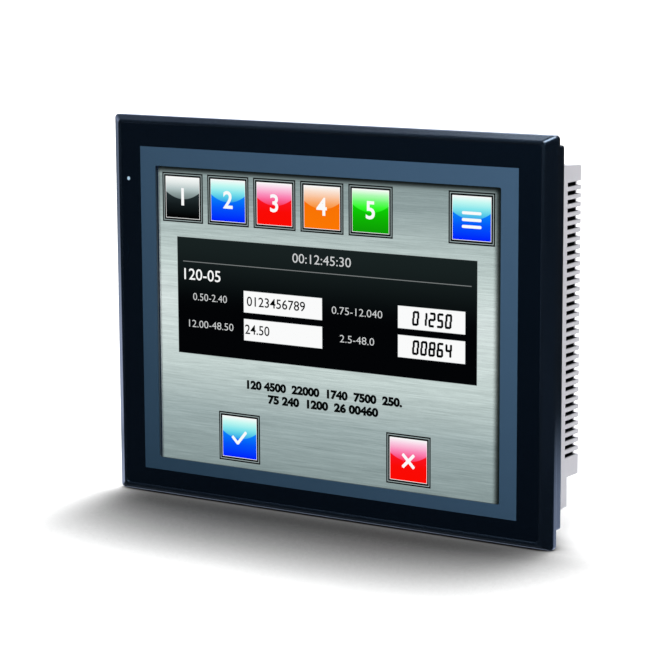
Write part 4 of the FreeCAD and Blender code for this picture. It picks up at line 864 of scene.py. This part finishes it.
def segmentNumber(text, x, z, layer, name):
    look = digitLook
    half = look["height"] / 2
    side = look["width"] / 2
    across = digitStroke(look["width"] + look["stroke"] * 0.4)
    upright = digitStroke(half + look["stroke"] * 0.3)
    upright.data.transform(Matrix.Rotation(math.pi / 2, 4, "Z"))
    places = {"a": (across, 0, half), "g": (across, 0, 0), "d": (across, 0, -half),
              "f": (upright, -side, half / 2), "b": (upright, side, half / 2),
              "e": (upright, -side, -half / 2), "c": (upright, side, -half / 2)}
    strokes = []
    start = -(len(text) - 1) / 2 * look["pitch"]
    for i, figure in enumerate(text):
        for key in digitSegments[figure]:
            model, u, v = places[key]
            lean = v * math.tan(math.radians(look["lean"]))
            strokes.append(copyOf(model, ((start + i * look["pitch"] + u + lean) * mm, v * mm, 0)))
    for model in (across, upright):
        bpy.data.objects.remove(model)
    number = joined(strokes, "number")
    number.data.transform(
        Matrix.Translation(onScreen(x, z, layer)) @ Matrix.Rotation(math.pi / 2, 4, "X"))
    return printed(number, name, black)


# figures stand where writing would be: text, size, centre, boldness, width and colour
figureLook = {
    "screenTitle": ("00:12:45:30", 8.2, (-1.4, 41.4), 0.0, 1.12, paleText),
    "screenBatch": ("120-05", 10.0, (-91.0, 25.6), 0.06, 1.08, white),
    "screenLabel1": ("0.50-2.40", 6.6, (-84.6, 11.8), -0.03, 1.06, paleText),
    "screenLabel2": ("12.00-48.50", 6.6, (-84.6, -5.4), -0.03, 1.14, paleText),
    "screenLabel3": ("0.75-12.040", 6.6, (23.8, 11.8), -0.03, 1.16, paleText),
    "screenLabel4": ("2.5-48.0", 6.6, (23.8, -5.2), -0.03, 1.16, paleText),
    "screenCode": ("0123456789", 8.4, (-35.0, 12.0), 0.06, 1.04, black),
    "screenValue": ("24.50", 8.4, (-49.0, -5.6), 0.06, 1.0, black),
    "screenMessage1": ("120 4500  22000  1740  7500  250.", 6.9, (-1.4, -40.3), 0.4, 1.16, black),
    "screenMessage2": ("75 240  1200  26 00460", 6.9, (-1.4, -48.1), 0.4, 1.2, black),
}


def buildFigures():
    segmentNumber("01250", 76.2, 11.9, 3, "screenCount")
    segmentNumber("00864", 76.2, -5.6, 3, "screenTarget")
    for name, (text, size, (x, z), bold, across, material) in figureLook.items():
        layer = 1 if "Message" in name else 3
        printed(numeral(text, size, x, z, layer, bold, across), name, material)
    print("screen figures:", len(figureLook) + 2)


buildKeys()
buildPanel()
buildFigures()


# screws with a cross recess

crossLook = dict(width=0.85, length=3.3, depth=1.15, taper=(0.45, 0.6, 1))
coverScrewLook = dict(head=5.4, thickness=1.8, shank=2.9, length=8.0, dome=1.15)
sunkScrewLook = dict(head=5.18, thickness=1.14, shank=2.9, length=6.1, bevel=0.12)


def facesDown(centre, normal):
    return normal.z < -0.5


def aroundTop(centre, along):
    return centre.z > -0.05 * mm


def crossTool(share=1.0):
    # two wedges across each other, points down, mouth at the origin
    look = crossLook
    tools = []
    for angle in (0, math.pi / 2):
        deep = look["depth"] * share * mm
        wedge = block((0, 0, -deep / 2 + 0.2 * mm),
                      (look["length"] * share * mm, look["width"] * share * mm,
                       deep + 0.4 * mm))
        chosen(wedge, "FACE", facesDown)
        bpy.ops.transform.resize(value=look["taper"], center_override=(0, 0, -deep))
        backOut()
        wedge.data.transform(Matrix.Rotation(angle, 4, "Z"))
        tools.append(wedge)
    modified(tools[0], "BOOLEAN", object=tools[1], operation="UNION", solver="EXACT")
    bpy.data.objects.remove(tools[1])
    return tools[0]


def screwHead(look):
    return cylinder(look["head"], look["thickness"] * mm,
                    (0, 0, -look["thickness"] / 2 * mm), 32)


def coverScrew(look):
    # a pan head on its shank, its top at the origin
    piece = screwHead(look)
    bevelled(piece, look["dome"], 5, aroundTop, profile=0.6)
    chosen(piece, "FACE", facesDown)
    bpy.ops.mesh.inset(thickness=(look["head"] - look["shank"]) / 2 * mm)
    extruded(0, 0, -look["length"] * mm)
    backOut()
    return smoothed(carved(piece, crossTool()))


def sunkScrew(look):
    # a flat head whose cone narrows to the shank
    piece = screwHead(look)
    narrow = look["shank"] / look["head"]
    chosen(piece, "FACE", facesDown)
    bpy.ops.transform.resize(value=(narrow, narrow, 1), center_override=(0, 0, 0))
    extruded(0, 0, -look["length"] * mm)
    bevelled(piece, look["bevel"], 2, aroundTop)
    return smoothed(carved(piece, crossTool(0.85)))


def facingBack(place, turn):
    # stands a screw that points up so that its head faces the back
    return (Matrix.Translation(place) @ Matrix.Rotation(-math.pi / 2, 4, "X")
            @ Matrix.Rotation(math.radians(turn), 4, "Z"))


def screwSet(name, node, model, moves):
    # copies of the model in place of the plain screws
    piece = joined([copyOf(model, move) for move in moves], name)
    bpy.data.objects.remove(model)
    instead(dressed(piece, finishes["steel screw"]), "steel_screw", node)


def buildScrews():
    low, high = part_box("rear_cover_screws")
    inset = coverScrewLook["head"] / 2 * mm
    places = [(x, z) for z in (low.z + inset, high.z - inset)
              for x in (low.x + inset, high.x - inset)]
    places.append(((low.x + high.x) / 2, high.z - inset))
    screwSet("coverScrews", "rear_cover_screws", coverScrew(coverScrewLook),
             [facingBack((x, high.y, z), 17 + 31 * i) for i, (x, z) in enumerate(places)])
    low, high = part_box("expansion_cover_screws")
    inset = sunkScrewLook["head"] / 2 * mm
    screwSet("expansionScrews", "expansion_cover_screws", sunkScrew(sunkScrewLook),
             [facingBack((x, high.y, (low.z + high.z) / 2), 40 * i + 12)
              for i, x in enumerate((low.x + inset, high.x - inset))])
    print("cross-recess screws: 7")


terminalScrewLook = dict(diameter=3.4, bevel=0.3, slot=0.6, slotDepth=0.7, turns=(8, 64, -33))


def buildTerminalScrews():
    # slotted heads that look down out of the terminal block
    look = terminalScrewLook
    low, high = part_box("terminal_screws")
    x, y = middle(low, high)
    model = cylinder(look["diameter"], high.z - low.z, (0, 0, (high.z - low.z) / 2), 28)
    bevelled(model, look["bevel"], 3, lambda centre, along: centre.z < 0.05 * mm)
    slot = block((0, 0, 0), (look["diameter"] * 1.3 * mm, look["slot"] * mm,
                             look["slotDepth"] * 2 * mm))
    smoothed(carved(model, slot))
    half = look["diameter"] / 2 * mm
    screwSet("terminalScrews", "terminal_screws", model,
             [Matrix.Translation((place, y, low.z)) @ Matrix.Rotation(math.radians(turn), 4, "Z")
              for place, turn in zip((low.x + half, x, high.x - half), look["turns"])])


# the ports' inner parts

serialLook = dict(
    flangeThickness=0.8, flangeCorner=1.6, bodyHeight=10.0, bodyWidth=19.2, bodyDepth=8.4,
    bodyCorner=0.6, shellWidth=17.6, shellDepth=8.6, slant=1.5, corner=1.6, wall=0.45,
    hollow=0.96, insertGap=0.25, insertSink=0.35, insertCorner=1.1, hole=1.15, holePitch=2.77,
    rowPitch=2.84, screwSpacing=25.0, screwHole=3.1,
)


def dPlane(width, depth, corner, place):
    # a flat D with its narrow side to the front
    plane = planeAt(place, width * mm, depth * mm)
    chosen(plane, "VERT", lambda v: v.y < place[1])
    narrow = 1 - 2 * serialLook["slant"] / width
    bpy.ops.transform.resize(value=(narrow, 1, 1), center_override=place)
    return bevelled(plane, corner, 6)


def serialFlange(look, x, y, top, width, depth):
    # a plate with round corners and two screw holes
    flange = bevelled(planeAt((x, y, top), width, depth), look["flangeCorner"], 5)
    modified(flange, "SOLIDIFY", thickness=look["flangeThickness"] * mm, offset=-1)
    for step in spread(2, look["screwSpacing"]):
        carved(flange, cylinder(look["screwHole"], 4 * mm, (x + step, y, top), 24))
    return flange


def serialShell(look, x, y, top, foot):
    # D-shaped, and hollow from its mouth
    shell = dPlane(look["shellWidth"], look["shellDepth"], look["corner"], (x, y, top))
    allOf(shell)
    extruded(0, 0, foot - top)
    bpy.ops.mesh.inset(thickness=look["wall"] * mm)
    extruded(0, 0, (top - foot) * look["hollow"])
    backOut()
    return outward(shell)


def serialInsert(look, x, y, top, foot):
    # the block in the shell, with five holes over four
    thin = (look["wall"] + look["insertGap"]) * 2
    face = dPlane(look["shellWidth"] - thin, look["shellDepth"] - thin, look["insertCorner"],
                  (x, y, top - 0.1 * mm))
    allOf(face)
    extruded(0, 0, foot + (look["insertSink"] + 0.1) * mm - top)
    backOut()
    outward(face)
    holes = [cylinder(look["hole"], 5 * mm, (x + step, y + row * look["rowPitch"] / 2 * mm, foot),
                      16)
             for row, count in ((1, 5), (-1, 4)) for step in spread(count, look["holePitch"])]
    return carved(face, joined(holes, "holes"))


def serialPort(letter):
    look = serialLook
    node = "serial_port_" + letter
    low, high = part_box(node)
    x, y = middle(low, high)
    flangeTop = high.z - look["bodyHeight"] * mm
    flangeLow = flangeTop - look["flangeThickness"] * mm
    flange = serialFlange(look, x, y, flangeTop, high.x - low.x, high.y - low.y)
    shell = serialShell(look, x, y, flangeLow, low.z)
    # the housing inside the cover
    body = block((x, y, flangeTop + look["bodyHeight"] / 2 * mm),
                 (look["bodyWidth"] * mm, look["bodyDepth"] * mm, look["bodyHeight"] * mm))
    bevelled(body, look["bodyCorner"], 3, lambda centre, along: abs(along.z) > 1 * mm)
    port = joined([flange, shell, body], "serialPort" + letter.upper())
    instead(dressed(smoothed(port), finishes["port shell"]), "port_shell", node)
    insert = dressed(smoothed(serialInsert(look, x, y, flangeLow, low.z)),
                     finishes["connector plastic"])
    insert.name = "serialInsert" + letter.upper()
    onTerminal(insert)


ethernetLook = dict(mouthDepth=6.9, contacts=8, pitch=1.02, wire=0.42, start=1.6, straight=1.0,
                    length=8.6, rise=2.3)


def ethernetContacts():
    # eight sprung wires that slope into the mouth
    look = ethernetLook
    low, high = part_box("ethernet_jack")
    x, y = middle(low, high)
    front = y - look["mouthDepth"] / 2 * mm
    wire = look["wire"] * mm
    model = block((x, front + wire / 2, low.z + look["start"] * mm), (wire, wire, wire))
    chosen(model, "FACE", lambda centre, normal: normal.z > 0.5)
    extruded(0, 0, look["straight"] * mm)
    extruded(0, look["rise"] * mm, look["length"] * mm)
    backOut()
    modified(model, "BEVEL", width=0.08 * mm, segments=2, limit_method="ANGLE")
    wires = [copyOf(model, (step, 0, 0)) for step in spread(look["contacts"], look["pitch"])]
    bpy.data.objects.remove(model)
    piece = dressed(smoothed(joined(wires, "ethernetContacts")), finishes["gold contact"])
    onTerminal(piece)


usbLook = {
    "Host": dict(node="usb_host_port", tongue=(11.1, 1.9), contacts=4, pitch=2.3, sides=(1,)),
    "Device": dict(node="usb_device_port", tongue=(5.6, 3.2), contacts=2, pitch=2.5,
                   sides=(-1, 1)),
}
tongueLook = dict(show=0.4, mouth=9.0, cover=0.08, bevel=0.25, back=0.8, contactWidth=0.9,
                  contactHeight=0.06)


def usbTongue(name, look):
    # a plastic sleeve over the tongue, with gilt contacts along it
    look = {**tongueLook, **look}
    low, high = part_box(look["node"])
    x, y = middle(low, high)
    bottom = low.z + (look["show"] - look["cover"]) * mm
    top = low.z + look["mouth"] * mm
    height = (bottom + top) / 2
    size = [(side + 2 * look["cover"]) * mm for side in look["tongue"]]
    sleeve = block((x, y, height), (*size, top - bottom))
    bevelled(sleeve, look["bevel"], 3, lambda centre, along: centre.z < bottom + 0.1 * mm)
    piece = dressed(smoothed(sleeve), finishes["connector plastic"])
    piece.name = f"usb{name}Tongue"
    onTerminal(piece)
    away = (look["tongue"][1] / 2 + look["cover"] + look["contactHeight"] / 2) * mm
    size = (look["contactWidth"] * mm, look["contactHeight"] * mm,
            top - bottom - look["back"] * mm)
    strips = []
    for side in look["sides"]:
        for step in spread(look["contacts"], look["pitch"]):
            strip = block((x + step, y + side * away, height + look["back"] / 2 * mm), size)
            strips.append(modified(strip, "BEVEL", width=0.02 * mm, segments=1))
    piece = dressed(joined(strips, f"usb{name}Contacts"), finishes["gold contact"])
    onTerminal(piece)


def buildPorts():
    for letter in "ab":
        serialPort(letter)
    ethernetContacts()
    for name, look in usbLook.items():
        usbTongue(name, look)
    print("ports' inner parts")


buildScrews()
buildTerminalScrews()
buildPorts()


# floor, lamps, room and camera

stageLook = dict(
    floorSize=80.0, shown=0.92, glow=0.3, bounce=0.85, gap=0.2,
    # the painted shadow: its power in front and behind, its reach, where it changes, and how it
    # eases off past the left and right ends
    contactFront=4.85, contactBack=0.9, contactReach=0.165, contactSpan=(-0.03, 0.015),
    contactLeft=(-0.187, -0.12, 0.05, 1.0), contactRight=(0.13, 0.25, 1.0, 0.25),
    near=(0.16, 0.52), front=(-0.0036, -0.003), far=(0.2, 0.4), fade=(0.5, 1.8, 1.0, 0.45),
)
roomLook = dict(
    ambient=0.27, dim=0.04, backdrop=(-0.78, 0.626), backdropEdge=(0.55, 0.85),
    panel=(0.7, -0.714), panelEdge=(0.8, 0.97), panelLight=0.09, overhead=(0.15, 0.6),
    overheadLight=0.23, dimSheen=(0.6, 0.78, 1.05, 1), sheen=(0.7, 0.79, 1.05, 1),
)


def mirroredRoom(nodes, distance, more, far=1.0):
    # what glossy faces see: a white backdrop, a faint panel and a dim, bluer room
    look = roomLook

    def towards(direction, edge):
        along = nodes.x * direction[0] + nodes.y * direction[1]
        return (along / distance).ramp(*edge)

    panel = towards(look["panel"], look["panelEdge"]) * look["panelLight"]
    lobes = towards(look["backdrop"], look["backdropEdge"]).orMore(panel) * far
    light = lobes.orMore(more).orMore(look["dim"])
    return light, nodes.blend(light, look["dimSheen"], look["sheen"])


def floorFinish():
    # white for the eye, with a painted shadow round the object on top of the lamps' own shadows,
    # but plain and pale in the light it returns
    look = stageLook
    finish = Finish("floor")
    camera, glossy, through = finish.rays()
    distance = (finish.x * finish.x + finish.y * finish.y) ** 0.5
    near = distance.ramp(*look["near"], 1.0, 0.0) * finish.y.ramp(*look["front"])
    far = distance.ramp(*look["far"]) * distance.ramp(*look["fade"])
    mirrored, sheen = mirroredRoom(finish, distance.orMore(0.01), near, far)
    # painted shadow: the colour the eye sees darkens with ambient occlusion near the object, most
    # in front
    occlusion = finish.node(
        "AmbientOcclusion", {"Distance": look["contactReach"]}, "AO", samples=16)
    contact = (finish.y.ramp(*look["contactSpan"], look["contactFront"], look["contactBack"])
               * finish.x.ramp(*look["contactLeft"]) * finish.x.ramp(*look["contactRight"]))
    share = camera.orMore(through) * occlusion ** contact
    shown = finish.node("BsdfDiffuse", {"Color": finish.dimmed(share * look["shown"])})
    glow = finish.node("Emission", {"Strength": 1.0, "Color": finish.blend(
        glossy, finish.dimmed(share * look["glow"]), finish.dimmed(mirrored, sheen))})
    shown = finish.node("AddShader", {0: shown, 1: glow})
    plain = finish.node("BsdfDiffuse", {"Color": (look["bounce"],) * 3 + (1,)})
    seen = (camera + glossy + through).orLess(1)
    surface = finish.node("MixShader", {0: seen, 1: plain, 2: shown})
    behind = finish.node("NewGeometry", {}, "Backfacing")
    clear = finish.node("BsdfTransparent", {})
    return finish.show(finish.node("MixShader", {0: behind, 1: surface, 2: clear}))


def buildFloor():
    size = stageLook["floorSize"]
    floor = planeAt((0, 0, cadBounds[0].z - stageLook["gap"] * mm), size, size)
    floor.name = "floor"
    dressed(floor, floorFinish())


def buildRoom():
    # white for the eye; glossy faces see the backdrop, the lamp overhead and a dim room
    world = bpy.data.worlds.new("room")
    bpy.context.scene.world = world
    world.use_nodes = True
    room = Nodes(world.node_tree, "Generated")
    camera, glossy, through = room.rays()
    mirrored, sheen = mirroredRoom(
        room, 1.0, room.z.ramp(*roomLook["overhead"]) * roomLook["overheadLight"])
    seen = camera.orMore(through)
    light = seen + (1 - seen) * (glossy * mirrored + (1 - glossy) * roomLook["ambient"])
    tone = room.blend((1 - seen) * glossy, (1, 1, 1, 1), sheen)
    back = room.node("Background", {"Color": room.dimmed(light, tone), "Strength": 1.0})
    room.node("OutputWorld", {"Surface": back})


lampLook = {
    "key lamp": dict(power=2.45, towards=(0.2, -0.5, -0.84), spread=42),
    "front lamp": dict(power=0.6, towards=(0.25, 0.96, -0.12), spread=40),
    "side lamp": dict(power=0.38, towards=(-0.98, 0.12, -0.12), spread=40),
    "edge lamp": dict(power=1.8, towards=(-0.22, 0.59, -0.79), spread=29),
}


def buildLamps():
    for name, look in lampLook.items():
        deselectAll()
        turn = Vector(look["towards"]).to_track_quat("-Z", "Y").to_euler()
        bpy.ops.object.light_add(type="SUN", rotation=turn)
        lamp = bpy.context.object
        lamp.name = name
        given(lamp.data, energy=look["power"], angle=math.radians(look["spread"]))


cameraLook = dict(place=(0.81212, -1.2455, 0.246), turn=33.169, down=9.458, roll=-0.294,
                  lens=137.53)


def buildCamera():
    look = cameraLook
    bpy.ops.object.camera_add(location=look["place"])
    camera = bpy.context.object
    camera.rotation_euler = (
        Matrix.Rotation(math.radians(look["turn"]), 4, "Z")
        @ Matrix.Rotation(math.radians(90 - look["down"]), 4, "X")
        @ Matrix.Rotation(math.radians(look["roll"]), 4, "Z")).to_euler()
    given(camera.data, sensor_width=36, lens=look["lens"], clip_end=200)
    bpy.context.scene.camera = camera


buildFloor()
buildRoom()
buildLamps()
buildCamera()
print("floor, room, lamps and camera")
